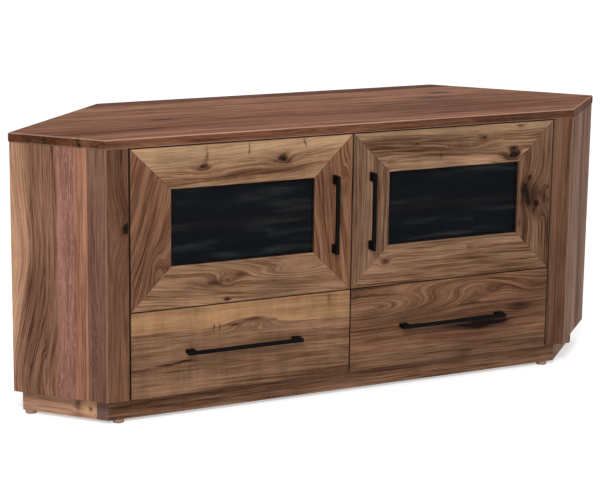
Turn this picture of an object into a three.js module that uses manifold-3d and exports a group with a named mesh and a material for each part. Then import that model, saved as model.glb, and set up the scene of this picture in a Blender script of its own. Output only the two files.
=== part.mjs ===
// Corner television cabinet in walnut: a six-sided carcass that fits a room corner, with two glazed
// mitred doors on concealed hinges over two dovetailed drawers on telescopic runners.
// Millimetres. X runs to the right, Y to the back and Z up; the floor is at Z zero.
import * as THREE from "three";
import { mergeVertices } from "three/addons/utils/BufferGeometryUtils.js";
import Module from "manifold-3d";

const wasm = await Module();
wasm.setup();

// Driving sizes of the whole cabinet. The two angled sides stand at 45 degrees to the front.
const width = 1500;
const wing = 164;             // how far back the angled sides reach
const depth = 464;
const height = 640;

// Boards and gaps shared by several pieces
const topThickness = 21;
const boardThickness = 20;
const partitionThickness = 18;
const backThickness = 9;
const carcassReveal = 1;      // step from the top's edge in to the carcass
const arris = 2;              // eased edge of the top, the posts, the sides and the shelves
const fineArris = 0.5;        // eased edge of door frames, drawer fronts and the ends of uprights
const jointGap = 0.2;         // glue line or dry seat between two boards
const frontGap = 3;           // shadow gap round doors and drawer fronts
const seatGap = 0.5;          // from a closed front's back to the carcass edge behind it
const overrun = 4;            // how far a cutting shape passes the face that it cuts

// Plinth and glides
const plinthHeight = 50;
const plinthInset = 28;
const plinthRearInset = 9;
const plinthBackShort = 20;   // from the cabinet's rear corner to the end of the back board
const glideDiameter = 25;
const glideHeight = 8;
const glideStem = 6;
const glideFromEnd = 26;
const sideGlideFromEnd = 15;

// Fronts
const postWidth = 52;
const drawerFrontHeight = 195.5;
const hingeSideGap = 3.2;

// Glazed doors
const frameWidth = 93;
const glassThickness = 4;
const glassRecess = 8;
const glassHold = 7;          // how far the pane reaches into its groove
const grooveClearance = 0.3;

// Shelves on pins
const shelfThickness = 18;
const shelfSetback = 60;
const shelfBelowMiddle = 6.25;  // from the middle of the door compartment down to the shelf's top
const shelfClearance = 1;
const pinDiameter = 5;
const pinReach = 8;
const pinPitch = 32;
const pinInset = 50;
const pinHoleDepth = 10;

// Concealed hinges, each with a single pivot inside its cup
const hingeFromDoorEnd = 60;
const cupDiameter = 35;
const cupDepth = 13;
const cupWall = 1;
const cupCentreFromEdge = 22.5;
const cupFit = 0.2;
const pivotFromEdge = 24.5;
const pivotFromFront = 12;
const pivotPinDiameter = 4;
const pivotClearance = 0.35;
const knuckleDiameter = 7.2;
const flangeThickness = 1.2;
const flangeDiameter = 39;
const flangeEarPitch = 48;
const flangeEarDiameter = 12;
const armStrip = 2.4;
const armWidth = 11;
const armOffset = 11.8;       // from the pivot to the middle of the arm's outward leg
const armLean = 3.2;
const armBarBack = 31;        // from the pivot back to the middle of the cross bar
const armTail = 34;
const hingePlateLength = 46;
const hingePlateHeight = 44;
const hingePlateThickness = 2;

// Dovetailed drawers
const drawerSideThickness = 12;
const drawerBoxHeight = 140;
const drawerBoxLift = 8;      // from the bottom panel up to the box
const drawerBottomThickness = 6;
const drawerBottomLift = 12;
const drawerGrooveDepth = 6;
const tailCount = 3;
const tailShare = 0.6;        // a tail's wide end as a share of its pitch
const tailSlope = 2;
const housingDepth = 9;
const housingNeck = 7;
const woodFit = 0.2;

// Telescopic runners
const runnerSpace = 13;
const runnerToBack = 41.4;    // from a runner's rear end to the angled back board
const runnerShort = 2;        // how much shorter than the drawer box a runner is
const runnerHeight = 35;
const runnerSheet = 1.5;
const runnerFit = 0.35;
const runnerLip = 2.5;
const runnerOuterDepth = 10;
const runnerSetback = 3;
const runnerLift = 62;        // from the bottom panel up to the runner's middle

// Square bar handles
const handleSection = 8;
const handleReach = 25;
const handleFoot = 20;
const handleArris = 0.6;
const doorHandleCentres = 160;
const drawerHandleCentres = 256;
const doorHandleFromEdge = 45;
const drawerHandleDrop = 98;  // from the drawer front's top edge down to the handle

// Cable cut-outs in the middle back board, one for each bay
const cableHoleDiameter = 60;
const cableHoleAboveShelf = 60;

const roundSides = 24;
const smallRoundSides = 12;

// Sizes worked out from the ones above
const frontHalf = width / 2 - wing;
const rearHalf = width / 2 - (depth - wing);
const carcassBottom = glideHeight + plinthHeight;
const carcassTop = height - topThickness;
const floorTop = carcassBottom + boardThickness;
const frontPlane = carcassReveal;
const frontBack = frontPlane + boardThickness;
const innerFront = frontBack + seatGap;
const postInner = frontHalf - postWidth;
const drawerFrontTop = carcassBottom + drawerFrontHeight;
const doorBottom = drawerFrontTop + frontGap;
const doorTop = carcassTop - frontGap;
const doorHeight = doorTop - doorBottom;
const midShelfTop = doorBottom - frontGap;
const midShelfBottom = midShelfTop - partitionThickness;
const shelfTop = (midShelfTop + carcassTop) / 2 - shelfBelowMiddle;
const frontsOuter = postInner - hingeSideGap;
const frontsWidth = frontsOuter - frontGap / 2;
const frontsCentre = (frontsOuter + frontGap / 2) / 2;
const backInset = carcassReveal + backThickness;
const dividerHalf = partitionThickness / 2;
const bayWidth = postInner - dividerHalf;
const bayCentre = (postInner + dividerHalf) / 2;
const handSigns = { left: -1, right: 1 };

// Finishes
const walnut = { color: 0x8a5f43, roughness: 0.6, metalness: 0 };
const darkWalnut = { color: 0x6b4733, roughness: 0.6, metalness: 0 };
const palePly = { color: 0xb99872, roughness: 0.7, metalness: 0 };
const smokedGlass = { color: 0x1a2026, roughness: 0.1, metalness: 0, transparent: true, opacity: 0.6 };
const blackMetal = { color: 0x1b1b1d, roughness: 0.5, metalness: 0.6 };
const steel = { color: 0xb5b8bc, roughness: 0.35, metalness: 0.9 };

// Plan lines of the six-sided outline, each moved in by an inset square to its own edge
const slant = (inset) => inset * Math.SQRT2;
const sideX = (y, inset) => frontHalf + y - slant(inset);
const diagonalX = (y, inset) => rearHalf + depth - y - slant(inset);
const diagonalY = (x, inset) => rearHalf + depth - x - slant(inset);

function wideCorner(sideInset, rearInset) {
  const along = frontHalf - slant(sideInset);
  const across = rearHalf + depth - slant(rearInset);
  return [(along + across) / 2, (across - along) / 2];
}

function rearCorner(inset) {
  return [diagonalX(depth - inset, inset), depth - inset];
}

const bothHands = (half) => [...half, ...half.map(([x, y]) => [-x, y]).reverse()];
const onHand = (points, hand) => points.map(([x, y]) => [hand * x, y]);

function hexagon(frontInset, sideInset, rearInset) {
  return bothHands([
    [sideX(frontInset, sideInset), frontInset],
    wideCorner(sideInset, rearInset),
    rearCorner(rearInset),
  ]);
}

// Outlines become solids along Z, Y or X, with their edges eased where a size for that is given.
function extrude(points, length, ease) {
  const shape = new THREE.Shape(points.map((point) => new THREE.Vector2(...point)));
  const settings = { depth: length - 2 * ease, bevelEnabled: ease > 0, curveSegments: smallRoundSides };
  Object.assign(settings, { bevelThickness: ease, bevelSize: ease, bevelOffset: -ease, bevelSegments: 1 });
  const geometry = new THREE.ExtrudeGeometry(shape, settings);
  return geometry.translate(0, 0, ease);
}

const axisX = new THREE.Vector3(1, 0, 0);
const axisY = new THREE.Vector3(0, 1, 0);
const axisZ = new THREE.Vector3(0, 0, 1);
const standAlongX = new THREE.Matrix4().makeBasis(axisY, axisZ, axisX);
const standAlongY = new THREE.Matrix4().makeBasis(axisZ, axisX, axisY);

const alongZ = (points, from, to, ease = 0) => extrude(points, to - from, ease).translate(0, 0, from);

// points are (y, z) pairs
const alongX = (points, from, to, ease = 0) =>
  extrude(points, to - from, ease).applyMatrix4(standAlongX).translate(from, 0, 0);

// points are (x, z) pairs
const alongY = (points, from, to, ease = 0) =>
  extrude(points.map(([x, z]) => [z, x]), to - from, ease).applyMatrix4(standAlongY).translate(0, from, 0);

const rectangle = (x0, x1, y0, y1) => [[x0, y0], [x1, y0], [x1, y1], [x0, y1]];

// The point at a given length from one corner of an outline, on the way to another
function stepTowards(from, to, length) {
  const start = new THREE.Vector2(...from);
  return new THREE.Vector2(...to).sub(start).setLength(length).add(start).toArray();
}

// A corner cut back by the same length along both of its edges
const easedCorner = (before, corner, after) =>
  [stepTowards(corner, before, arris), stepTowards(corner, after, arris)];

function box(x0, x1, y0, y1, z0, z1) {
  const block = new THREE.BoxGeometry(x1 - x0, y1 - y0, z1 - z0);
  return block.translate((x0 + x1) / 2, (y0 + y1) / 2, (z0 + z1) / 2);
}

function roundOutline(radius, x, y, sides) {
  const angles = Array.from({ length: sides }, (_, i) => (i * 2 * Math.PI) / sides);
  return angles.map((angle) => [x + radius * Math.cos(angle), y + radius * Math.sin(angle)]);
}

// Cuts and joins
function toSolid(geometry) {
  const bare = geometry.clone();
  bare.deleteAttribute("normal");
  bare.deleteAttribute("uv");
  const merged = mergeVertices(bare);
  const vertProperties = new Float32Array(merged.attributes.position.array);
  const triVerts = new Uint32Array(merged.index.array);
  return new wasm.Manifold(new wasm.Mesh({ numProp: 3, vertProperties, triVerts }));
}

function toGeometry(solid) {
  const mesh = solid.getMesh();
  const geometry = new THREE.BufferGeometry();
  geometry.setAttribute("position", new THREE.BufferAttribute(mesh.vertProperties, 3));
  geometry.setIndex(new THREE.BufferAttribute(mesh.triVerts, 1));
  geometry.computeVertexNormals();
  return geometry;
}

const join = (...pieces) => toGeometry(pieces.map(toSolid).reduce((a, b) => a.add(b)));

const cut = (piece, ...tools) =>
  toGeometry(tools.map(toSolid).reduce((a, b) => a.subtract(b), toSolid(piece)));

function addMesh(group, name, geometry, finish) {
  const mesh = new THREE.Mesh(geometry, new THREE.MeshStandardMaterial(finish));
  mesh.name = name;
  group.add(mesh);
  return mesh;
}

function addGroup(parent, x, y, z) {
  const group = new THREE.Group();
  group.position.set(x, y, z);
  parent.add(group);
  return group;
}

// Carcass boards

function topPanel(group) {
  addMesh(group, "top_panel", alongZ(hexagon(0, 0, 0), carcassTop, height, arris), walnut);
}

function bottomPanel(group) {
  const inner = carcassReveal + boardThickness + jointGap;
  const outline = hexagon(innerFront, inner, backInset + jointGap);
  addMesh(group, "bottom_panel", alongZ(outline, carcassBottom, floorTop), darkWalnut);
}

// The front post and the 45 degree side meet on the line that halves their corner. The eased edge there is
// one flat across both boards, square to that line.
const mitreAngle = Math.PI / 8;
const mitreX = (y) => sideX(frontPlane, carcassReveal) - (y - frontPlane) * Math.tan(mitreAngle);
const mitreEase = arris * Math.sin(mitreAngle);

const uprightBoard = (outline, hand) =>
  alongZ(onHand(outline, hand), carcassBottom, carcassTop - jointGap, fineArris);

function frontPost(group, name, hand) {
  const tip = [mitreX(frontPlane) - jointGap, frontPlane];
  const inside = [mitreX(frontBack) - jointGap, frontBack];
  const doorEdge = [postInner, frontPlane];
  const doorEdgeBack = [postInner, frontBack];
  const outline = [
    ...easedCorner(doorEdgeBack, doorEdge, tip),
    stepTowards(tip, doorEdge, arris),
    stepTowards(tip, inside, mitreEase),
    inside,
    doorEdgeBack,
  ];
  addMesh(group, name, uprightBoard(outline, hand), walnut);
}

function sidePanel(group, name, hand) {
  const innerInset = carcassReveal + boardThickness;
  const rebate = backThickness + jointGap;
  const tip = [mitreX(frontPlane), frontPlane];
  const inside = [mitreX(frontBack), frontBack];
  const rearEdge = wideCorner(carcassReveal, carcassReveal);
  const rebateEdge = wideCorner(carcassReveal + rebate, carcassReveal);
  const outline = [
    stepTowards(tip, rearEdge, arris),
    ...easedCorner(tip, rearEdge, rebateEdge),
    rebateEdge,
    wideCorner(carcassReveal + rebate, carcassReveal + rebate),
    wideCorner(innerInset, carcassReveal + rebate),
    inside,
    stepTowards(tip, inside, mitreEase),
  ];
  addMesh(group, name, uprightBoard(outline, hand), walnut);
}

// Shelf pins, and the spare holes above and below them, in a board's face at x that looks along faces
const pinRows = () => [
  shelfSetback + pinInset,
  diagonalY(postInner, backInset) - pinInset,
];
const pinHeight = shelfTop - shelfThickness - pinDiameter / 2;

function pins(x, faces) {
  const from = Math.min(x - faces * overrun, x + faces * pinReach);
  const to = Math.max(x - faces * overrun, x + faces * pinReach);
  const outline = (y) => roundOutline(pinDiameter / 2, y, pinHeight, smallRoundSides);
  return pinRows().map((y) => alongX(outline(y), from, to));
}

function pinHoles(x, faces) {
  const from = Math.min(x - faces * pinHoleDepth, x + faces * overrun);
  const to = Math.max(x - faces * pinHoleDepth, x + faces * overrun);
  const bore = (y, z) => alongX(roundOutline(pinDiameter / 2, y, z, smallRoundSides), from, to);
  return pinRows().flatMap((y) => [bore(y, pinHeight - pinPitch), bore(y, pinHeight + pinPitch)]);
}

function partition(group, name, hand) {
  const outer = postInner + partitionThickness;
  const outline = [
    [postInner, frontBack + jointGap],
    [outer, frontBack + jointGap],
    [outer, diagonalY(outer, backInset + jointGap)],
    [postInner, diagonalY(postInner, backInset + jointGap)],
  ];
  const board = alongZ(onHand(outline, hand), floorTop + jointGap, carcassTop - jointGap);
  const face = hand * postInner;
  const drilled = cut(board, ...pinHoles(face, -hand));
  addMesh(group, name, join(drilled, ...pins(face, -hand)), darkWalnut);
}

function centreDivider(group) {
  const outline = rectangle(-dividerHalf, dividerHalf, innerFront, depth - backInset - jointGap);
  const board = alongZ(outline, floorTop + jointGap, carcassTop - jointGap);
  const drilled = cut(board, ...pinHoles(dividerHalf, 1), ...pinHoles(-dividerHalf, -1));
  const divider = join(drilled, ...pins(dividerHalf, 1), ...pins(-dividerHalf, -1));
  addMesh(group, "centre_divider", divider, darkWalnut);
}

// A board that fills one bay in plan, from its front edge back to the angled and the straight back boards
function bayOutline(front, clearance) {
  const inner = dividerHalf + clearance;
  const outer = postInner - clearance;
  const [cornerX, cornerY] = rearCorner(backInset + clearance);
  return [
    [inner, front],
    [outer, front],
    [outer, diagonalY(outer, backInset + clearance)],
    [cornerX, cornerY],
    [inner, cornerY],
  ];
}

function midShelf(group, name, hand) {
  const outline = onHand(bayOutline(innerFront, jointGap), hand);
  addMesh(group, name, alongZ(outline, midShelfBottom, midShelfTop), darkWalnut);
}

function adjustableShelf(group, name, hand) {
  const outline = onHand(bayOutline(shelfSetback, shelfClearance), hand);
  addMesh(group, name, alongZ(outline, shelfTop - shelfThickness + jointGap, shelfTop, arris), walnut);
}

// Back boards, let into rebates in the sides and mitred together at the two rear corners
function backPanels(group) {
  const [outerX, outerY] = rearCorner(carcassReveal);
  const [innerX, innerY] = rearCorner(backInset);
  const middle = bothHands([[innerX - jointGap, innerY], [outerX - jointGap, outerY]]);
  const holeHeight = shelfTop + cableHoleAboveShelf;
  const holeX = rearHalf / 2;
  const holeOutline = (x) => roundOutline(cableHoleDiameter / 2, x, holeHeight, roundSides);
  const hole = (x) => alongY(holeOutline(x), innerY - overrun, outerY + overrun);
  const board = alongZ(middle, carcassBottom, carcassTop - jointGap);
  addMesh(group, "back_panel_centre", cut(board, hole(-holeX), hole(holeX)), palePly);
  const rebate = backThickness + jointGap;
  for (const [side, hand] of Object.entries(handSigns)) {
    const angled = [
      [outerX, outerY],
      [innerX, innerY],
      wideCorner(carcassReveal + rebate + jointGap, backInset),
      wideCorner(carcassReveal + rebate + jointGap, carcassReveal),
    ];
    const panel = alongZ(onHand(angled, hand), carcassBottom, carcassTop - jointGap);
    addMesh(group, `back_panel_${side}`, panel, palePly);
  }
}

// Plinth boards with their glides

function glide(x, y) {
  return alongZ(roundOutline(glideDiameter / 2, x, y, roundSides), 0, glideHeight + glideStem);
}

function plinthBoard(group, name, outline, glidePlaces) {
  const board = alongZ(outline, glideHeight, carcassBottom - jointGap);
  addMesh(group, name, join(board, ...glidePlaces.map(([x, y]) => glide(x, y))), walnut);
}

function plinth(group) {
  const front = plinthInset;
  const back = plinthInset + boardThickness;
  const frontMiddle = (front + back) / 2;
  const frontGlide = sideX(front, plinthInset) - glideFromEnd;
  const frontOutline = bothHands([[sideX(front, plinthInset), front], [sideX(back, plinthInset), back]]);
  plinthBoard(group, "plinth_front", frontOutline, [[-frontGlide, frontMiddle], [frontGlide, frontMiddle]]);

  const rearFace = depth - plinthRearInset;
  const rearEnd = rearHalf - plinthBackShort;
  const rearFront = rearFace - boardThickness;
  const rearGlide = rearEnd - glideFromEnd;
  const rearMiddle = (rearFace + rearFront) / 2;
  const rearOutline = rectangle(-rearEnd, rearEnd, rearFront, rearFace);
  plinthBoard(group, "plinth_back", rearOutline, [[-rearGlide, rearMiddle], [rearGlide, rearMiddle]]);

  // The side boards butt on the back of the front board, whose bevelled ends stay in sight.
  const start = back + jointGap;
  const inner = plinthInset + boardThickness;
  const glideInset = plinthInset + boardThickness / 2;
  for (const [side, hand] of Object.entries(handSigns)) {
    const outline = [
      [sideX(start, plinthInset), start],
      wideCorner(plinthInset, plinthRearInset),
      wideCorner(inner, plinthRearInset),
      [sideX(start, inner), start],
    ];
    const [glideX, glideY] = wideCorner(glideInset, plinthRearInset + sideGlideFromEnd);
    plinthBoard(group, `plinth_${side}`, onHand(outline, hand), [[hand * glideX, glideY]]);
  }
}

// Concealed hinge, drawn about its pivot: X points from the hinge side to the door's free edge when hand
// is 1, Y points back, and Z runs along the pivot.

const cupCentre = cupCentreFromEdge - pivotFromEdge;
const doorBackFromPivot = boardThickness - pivotFromFront;

function flangeOutline(centre) {
  const ring = flangeDiameter / 2;
  const ear = flangeEarDiameter / 2;
  const reach = flangeEarPitch / 2;
  const lean = Math.acos((ring - ear) / reach);
  const shape = new THREE.Shape();
  shape.absarc(0, 0, ring, -Math.PI / 2 + lean, Math.PI / 2 - lean, false);
  shape.absarc(0, reach, ear, Math.PI / 2 - lean, Math.PI / 2 + lean, false);
  shape.absarc(0, 0, ring, Math.PI / 2 + lean, (3 * Math.PI) / 2 - lean, false);
  shape.absarc(0, -reach, ear, (3 * Math.PI) / 2 - lean, (3 * Math.PI) / 2 + lean, false);
  return shape.getPoints(smallRoundSides / 2).map((point) => [point.x + centre, point.y]);
}

function hingeCup(hand) {
  const centre = hand * cupCentre;
  const mouth = doorBackFromPivot + flangeThickness;
  const floor = doorBackFromPivot - cupDepth;
  const radius = cupDiameter / 2;
  const cupOf = (r, from, to) => alongY(roundOutline(r, centre, 0, roundSides), from, to);
  const flangeFrom = doorBackFromPivot + cupFit;
  const flange = alongY(flangeOutline(centre), flangeFrom, flangeFrom + flangeThickness);
  const body = join(cupOf(radius, floor, flangeFrom + flangeThickness / 2), flange);
  const shell = cut(body, cupOf(radius - cupWall, floor + cupWall, mouth + overrun));
  const pinHalf = radius - cupWall / 2;
  const pin = alongZ(roundOutline(pivotPinDiameter / 2, 0, 0, smallRoundSides), -pinHalf, pinHalf);
  const inCup = toSolid(pin).intersect(toSolid(cupOf(radius - cupWall / 2, floor, mouth)));
  return toGeometry(toSolid(shell).add(inCup));
}

// Outline of a bent strip of even thickness that follows a line of points
function bentStrip(points, thickness) {
  const half = thickness / 2;
  const path = points.map((p) => new THREE.Vector2(...p));
  const normals = path.slice(1).map((p, i) => {
    const along = p.clone().sub(path[i]).normalize();
    return new THREE.Vector2(-along.y, along.x);
  });
  const offset = (sign) => path.map((p, i) => {
    const before = normals[Math.max(i - 1, 0)];
    const after = normals[Math.min(i, normals.length - 1)];
    const middle = before.clone().add(after).normalize();
    const reach = (sign * half) / middle.dot(before);
    return [p.x + middle.x * reach, p.y + middle.y * reach];
  });
  return [...offset(1), ...offset(-1).reverse()];
}

function hingeArm(hand) {
  const plateFace = hingeSideGap + pivotFromEdge - jointGap;
  const plateFront = plateFace - hingePlateThickness;
  const tailX = plateFront - armStrip / 2 + jointGap;
  const strip = bentStrip([
    [0, 0],
    [armOffset, 0],
    [armOffset, doorBackFromPivot + flangeThickness],
    [armOffset + armLean, armBarBack],
    [-tailX, armBarBack],
    [-tailX, armBarBack + armTail],
  ], armStrip);
  const halfWidth = armWidth / 2;
  const plate = box(-plateFace, -plateFront, armBarBack, armBarBack + hingePlateLength,
    -hingePlateHeight / 2, hingePlateHeight / 2);
  const knuckle = alongZ(roundOutline(knuckleDiameter / 2, 0, 0, roundSides), -halfWidth, halfWidth);
  const bore = alongZ(roundOutline(pivotPinDiameter / 2 + pivotClearance, 0, 0, roundSides),
    -armWidth, armWidth);
  const arm = cut(join(alongZ(strip, -halfWidth, halfWidth), knuckle, plate), bore);
  return hand < 0 ? mirrored(arm) : arm;
}

// The same solid seen in a mirror across X
function mirrored(geometry) {
  const flipped = geometry.clone().scale(-1, 1, 1);
  const order = flipped.index.array;
  for (let i = 0; i < order.length; i += 3) {
    const first = order[i];
    order[i] = order[i + 1];
    order[i + 1] = first;
  }
  return flipped;
}

// Handles: a square bar whose ends turn back to the front as broad feet

function handle(centres) {
  const half = centres / 2 + handleFoot / 2;
  const outline = [
    [-half, 0], [-half, -handleReach], [half, -handleReach], [half, 0],
    [half - handleFoot, 0], [half - handleFoot, handleSection - handleReach],
    [handleFoot - half, handleSection - handleReach], [handleFoot - half, 0],
  ];
  return alongZ(outline, -handleSection / 2, handleSection / 2, handleArris);
}

// Doors, drawn from the middle of their bottom edge with Y zero on the front face

function frameMember(half, length, isRail) {
  const gap = isRail ? slant(jointGap) : 0;
  return [
    [-length / 2 + gap, half], [length / 2 - gap, half],
    [length / 2 - frameWidth - gap, half - frameWidth], [-length / 2 + frameWidth + gap, half - frameWidth],
  ];
}

function doorFrame(group, name, hand) {
  const halfWidth = frontsWidth / 2;
  const halfHeight = doorHeight / 2;
  const innerWidth = halfWidth - frameWidth;
  const innerHeight = halfHeight - frameWidth;
  const grooveReach = glassHold + grooveClearance;
  const grooveFront = glassRecess - grooveClearance;
  const grooveBack = glassRecess + glassThickness + grooveClearance;
  const groove = box(-innerWidth - grooveReach, innerWidth + grooveReach, grooveFront, grooveBack,
    -innerHeight - grooveReach, innerHeight + grooveReach);
  const member = (outline) => alongY(outline, 0, boardThickness, fineArris);
  const rail = frameMember(halfHeight, frontsWidth, true);
  const stile = frameMember(halfWidth, doorHeight, false).map(([z, x]) => [x, z]);
  const edges = {
    top_rail: rail,
    bottom_rail: rail.map(([x, z]) => [x, -z]),
    hinge_stile: stile.map(([x, z]) => [hand * x, z]),
    meeting_stile: stile.map(([x, z]) => [-hand * x, z]),
  };
  const bores = [-1, 1].map((end) => alongY(
    roundOutline(cupDiameter / 2 + cupFit, hand * (halfWidth - cupCentreFromEdge),
      end * (halfHeight - hingeFromDoorEnd), roundSides),
    boardThickness - cupDepth - cupFit, boardThickness + overrun));
  for (const [part, outline] of Object.entries(edges)) {
    const tools = part === "hinge_stile" ? [groove, ...bores] : [groove];
    addMesh(group, `${name}_${part}`, cut(member(outline), ...tools), walnut);
  }
  const paneHalf = innerWidth + glassHold;
  const paneHalfHeight = innerHeight + glassHold;
  const paneBack = glassRecess + glassThickness;
  const pane = box(-paneHalf, paneHalf, glassRecess, paneBack, -paneHalfHeight, paneHalfHeight);
  addMesh(group, `${name}_glass`, pane, smokedGlass);
}

function door(root, side, hand) {
  const group = addGroup(root, hand * frontsCentre, frontPlane, (doorBottom + doorTop) / 2);
  const name = `door_${side}`;
  doorFrame(group, name, hand);
  const pull = addMesh(group, `${name}_handle`, handle(doorHandleCentres), blackMetal);
  pull.rotation.y = Math.PI / 2;
  pull.position.set(-hand * (frontsWidth / 2 - doorHandleFromEdge), -jointGap, 0);
  for (const [end, sign] of Object.entries({ top: 1, bottom: -1 })) {
    const cup = addMesh(group, `${name}_hinge_cup_${end}`, hingeCup(-hand), steel);
    const x = hand * (frontsWidth / 2 - pivotFromEdge);
    cup.position.set(x, pivotFromFront, sign * (doorHeight / 2 - hingeFromDoorEnd));
  }
}

function hingeArms(group, side, hand) {
  for (const [end, sign] of Object.entries({ top: 1, bottom: -1 })) {
    const arm = addMesh(group, `hinge_arm_${side}_${end}`, hingeArm(-hand), steel);
    const z = (doorBottom + doorTop) / 2 + sign * (doorHeight / 2 - hingeFromDoorEnd);
    arm.position.set(hand * (frontsOuter - pivotFromEdge), frontPlane + pivotFromFront, z);
  }
}

// Runners, drawn from the face that the outer member is screwed to: X points at the drawer when hand is 1

const runnerFront = innerFront + runnerSetback;
const runnerLength = diagonalY(postInner, backInset) - runnerToBack - runnerFront;

function outerRunner(hand) {
  const half = runnerHeight / 2;
  const inner = half - runnerSheet;
  const lip = inner - runnerLip;
  const start = jointGap;
  const end = start + runnerOuterDepth;
  const upper = [
    [start, half], [end, half], [end, lip], [end - runnerSheet, lip], [end - runnerSheet, inner],
    [start + runnerSheet, inner],
  ];
  const outline = [...upper, ...upper.map(([x, z]) => [x, -z]).reverse()];
  return alongY(onHand(outline, hand), 0, runnerLength);
}

function innerRunner(hand) {
  const head = runnerHeight / 2 - runnerSheet - runnerFit;
  const neck = head - runnerLip;
  const headStart = jointGap + runnerSheet + runnerFit;
  const headEnd = jointGap + runnerOuterDepth - runnerSheet - runnerFit;
  const end = runnerSpace - jointGap;
  const upper = [[headStart, head], [headEnd, head], [headEnd, neck], [end, neck]];
  const outline = [...upper, ...upper.map(([x, z]) => [x, -z]).reverse()];
  const body = alongY(onHand(outline, hand), 0, runnerLength);
  const hollowHalf = neck - runnerSheet;
  const hollow = rectangle(headStart - overrun, end - runnerSheet, -hollowHalf, hollowHalf);
  return cut(body, alongY(onHand(hollow, hand), -overrun, runnerLength + overrun));
}

// Drawers, drawn from the middle of the front's bottom edge with Y zero on the front's face

const drawerBoxBottom = boardThickness + drawerBoxLift;
const drawerBoxTop = drawerBoxBottom + drawerBoxHeight;
const drawerBoxHalf = bayWidth / 2 - runnerSpace;
const drawerBoxRear = boardThickness + runnerLength + runnerShort;
const drawerBottomFrom = drawerBoxBottom + drawerBottomLift;
const drawerBottomTo = drawerBottomFrom + drawerBottomThickness;
const drawerBackFrom = drawerBottomTo + woodFit;

// Tails on the drawer side's rear end, as (y, z) outlines; grow widens them into the back board's sockets
function tails(grow) {
  const pitch = (drawerBoxTop - drawerBackFrom) / tailCount;
  const wide = (pitch * tailShare) / 2 + grow;
  const neck = wide - tailSlope;
  const shoulder = drawerBoxRear - drawerSideThickness;
  return Array.from({ length: tailCount }, (_, i) => {
    const middle = drawerBackFrom + (i + 1 / 2) * pitch;
    return [
      [shoulder, middle - neck], [drawerBoxRear, middle - wide],
      [drawerBoxRear, middle + wide], [shoulder, middle + neck],
    ];
  });
}

// Plan outline of the sliding dovetail on the side's front end, about the side's middle line
function housingOutline(grow) {
  const wide = drawerSideThickness / 2 - woodFit + grow;
  const neck = housingNeck / 2 + grow;
  return [
    [-neck, boardThickness + overrun], [-neck, boardThickness],
    [-wide, boardThickness - housingDepth - grow], [wide, boardThickness - housingDepth - grow],
    [neck, boardThickness], [neck, boardThickness + overrun],
  ];
}

function drawerSide(hand) {
  const outer = drawerBoxHalf;
  const inner = drawerBoxHalf - drawerSideThickness;
  const middle = (outer + inner) / 2;
  const shoulder = drawerBoxRear - drawerSideThickness;
  const body = [
    [boardThickness + woodFit, drawerBoxBottom], [shoulder, drawerBoxBottom],
    ...tails(0).flat(),
    [shoulder, drawerBoxTop], [boardThickness + woodFit, drawerBoxTop],
  ];
  const board = alongX(body, inner, outer);
  const tongue = alongZ(housingOutline(0).map(([x, y]) => [x + middle, y]), drawerBoxBottom, drawerBoxTop);
  const groove = box(inner - overrun, inner + drawerGrooveDepth, 0, drawerBoxRear + overrun,
    drawerBottomFrom - woodFit, drawerBottomTo + woodFit);
  const side = cut(join(board, tongue), groove);
  return hand < 0 ? mirrored(side) : side;
}

function drawerFront(shift) {
  const face = rectangle(shift - frontsWidth / 2, shift + frontsWidth / 2, 0, drawerFrontHeight);
  const board = alongY(face, 0, boardThickness, fineArris);
  const middle = drawerBoxHalf - drawerSideThickness / 2;
  const housings = [-1, 1].map((hand) => alongZ(
    housingOutline(woodFit).map(([x, y]) => [x + hand * middle, y]), -overrun, drawerBoxTop + woodFit));
  const groove = box(drawerGrooveDepth - drawerBoxHalf, drawerBoxHalf - drawerGrooveDepth,
    boardThickness - drawerGrooveDepth, boardThickness + overrun,
    drawerBottomFrom - woodFit, drawerBottomTo + woodFit);
  return cut(board, ...housings, groove);
}

function drawerBack() {
  const outer = drawerBoxHalf;
  const inner = drawerBoxHalf - drawerSideThickness;
  const shoulder = drawerBoxRear - drawerSideThickness;
  const board = box(-outer, outer, shoulder + woodFit, drawerBoxRear, drawerBackFrom, drawerBoxTop);
  const sockets = [-1, 1].flatMap((hand) => tails(woodFit).map((tail) => {
    const ends = [hand * (inner - woodFit), hand * (outer + overrun)].sort((a, b) => a - b);
    return alongX(tail, ...ends);
  }));
  return cut(board, ...sockets);
}

function drawerBottom() {
  const half = drawerBoxHalf - drawerSideThickness + drawerGrooveDepth - woodFit;
  const front = boardThickness - drawerGrooveDepth + woodFit;
  return box(-half, half, front, drawerBoxRear, drawerBottomFrom, drawerBottomTo);
}

function drawer(root, side, hand) {
  const group = addGroup(root, hand * bayCentre, frontPlane, carcassBottom);
  const name = `drawer_${side}`;
  const frontShift = hand * (frontsCentre - bayCentre);
  addMesh(group, `${name}_front`, drawerFront(frontShift), walnut);
  addMesh(group, `${name}_back`, drawerBack(), palePly);
  addMesh(group, `${name}_bottom`, drawerBottom(), palePly);
  const pull = addMesh(group, `${name}_handle`, handle(drawerHandleCentres), blackMetal);
  pull.position.set(frontShift, -jointGap, drawerFrontHeight - drawerHandleDrop);
  for (const [end, sign] of Object.entries(handSigns)) {
    addMesh(group, `${name}_side_${end}`, drawerSide(sign), palePly);
    const slide = addMesh(group, `${name}_slide_${end}`, innerRunner(-sign), steel);
    slide.position.set((sign * bayWidth) / 2, runnerFront - frontPlane, boardThickness + runnerLift);
  }
}

function runnerPair(group, side, hand) {
  for (const [end, sign] of Object.entries(handSigns)) {
    const rail = addMesh(group, `runner_${side}_${end}`, outerRunner(-sign), steel);
    const wall = hand * bayCentre + (sign * bayWidth) / 2;
    rail.position.set(wall, runnerFront, floorTop + runnerLift);
  }
}

// The whole cabinet, centred on the floor
const cabinet = new THREE.Group();
cabinet.position.y = (handleReach + jointGap - frontPlane - depth) / 2;

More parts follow.
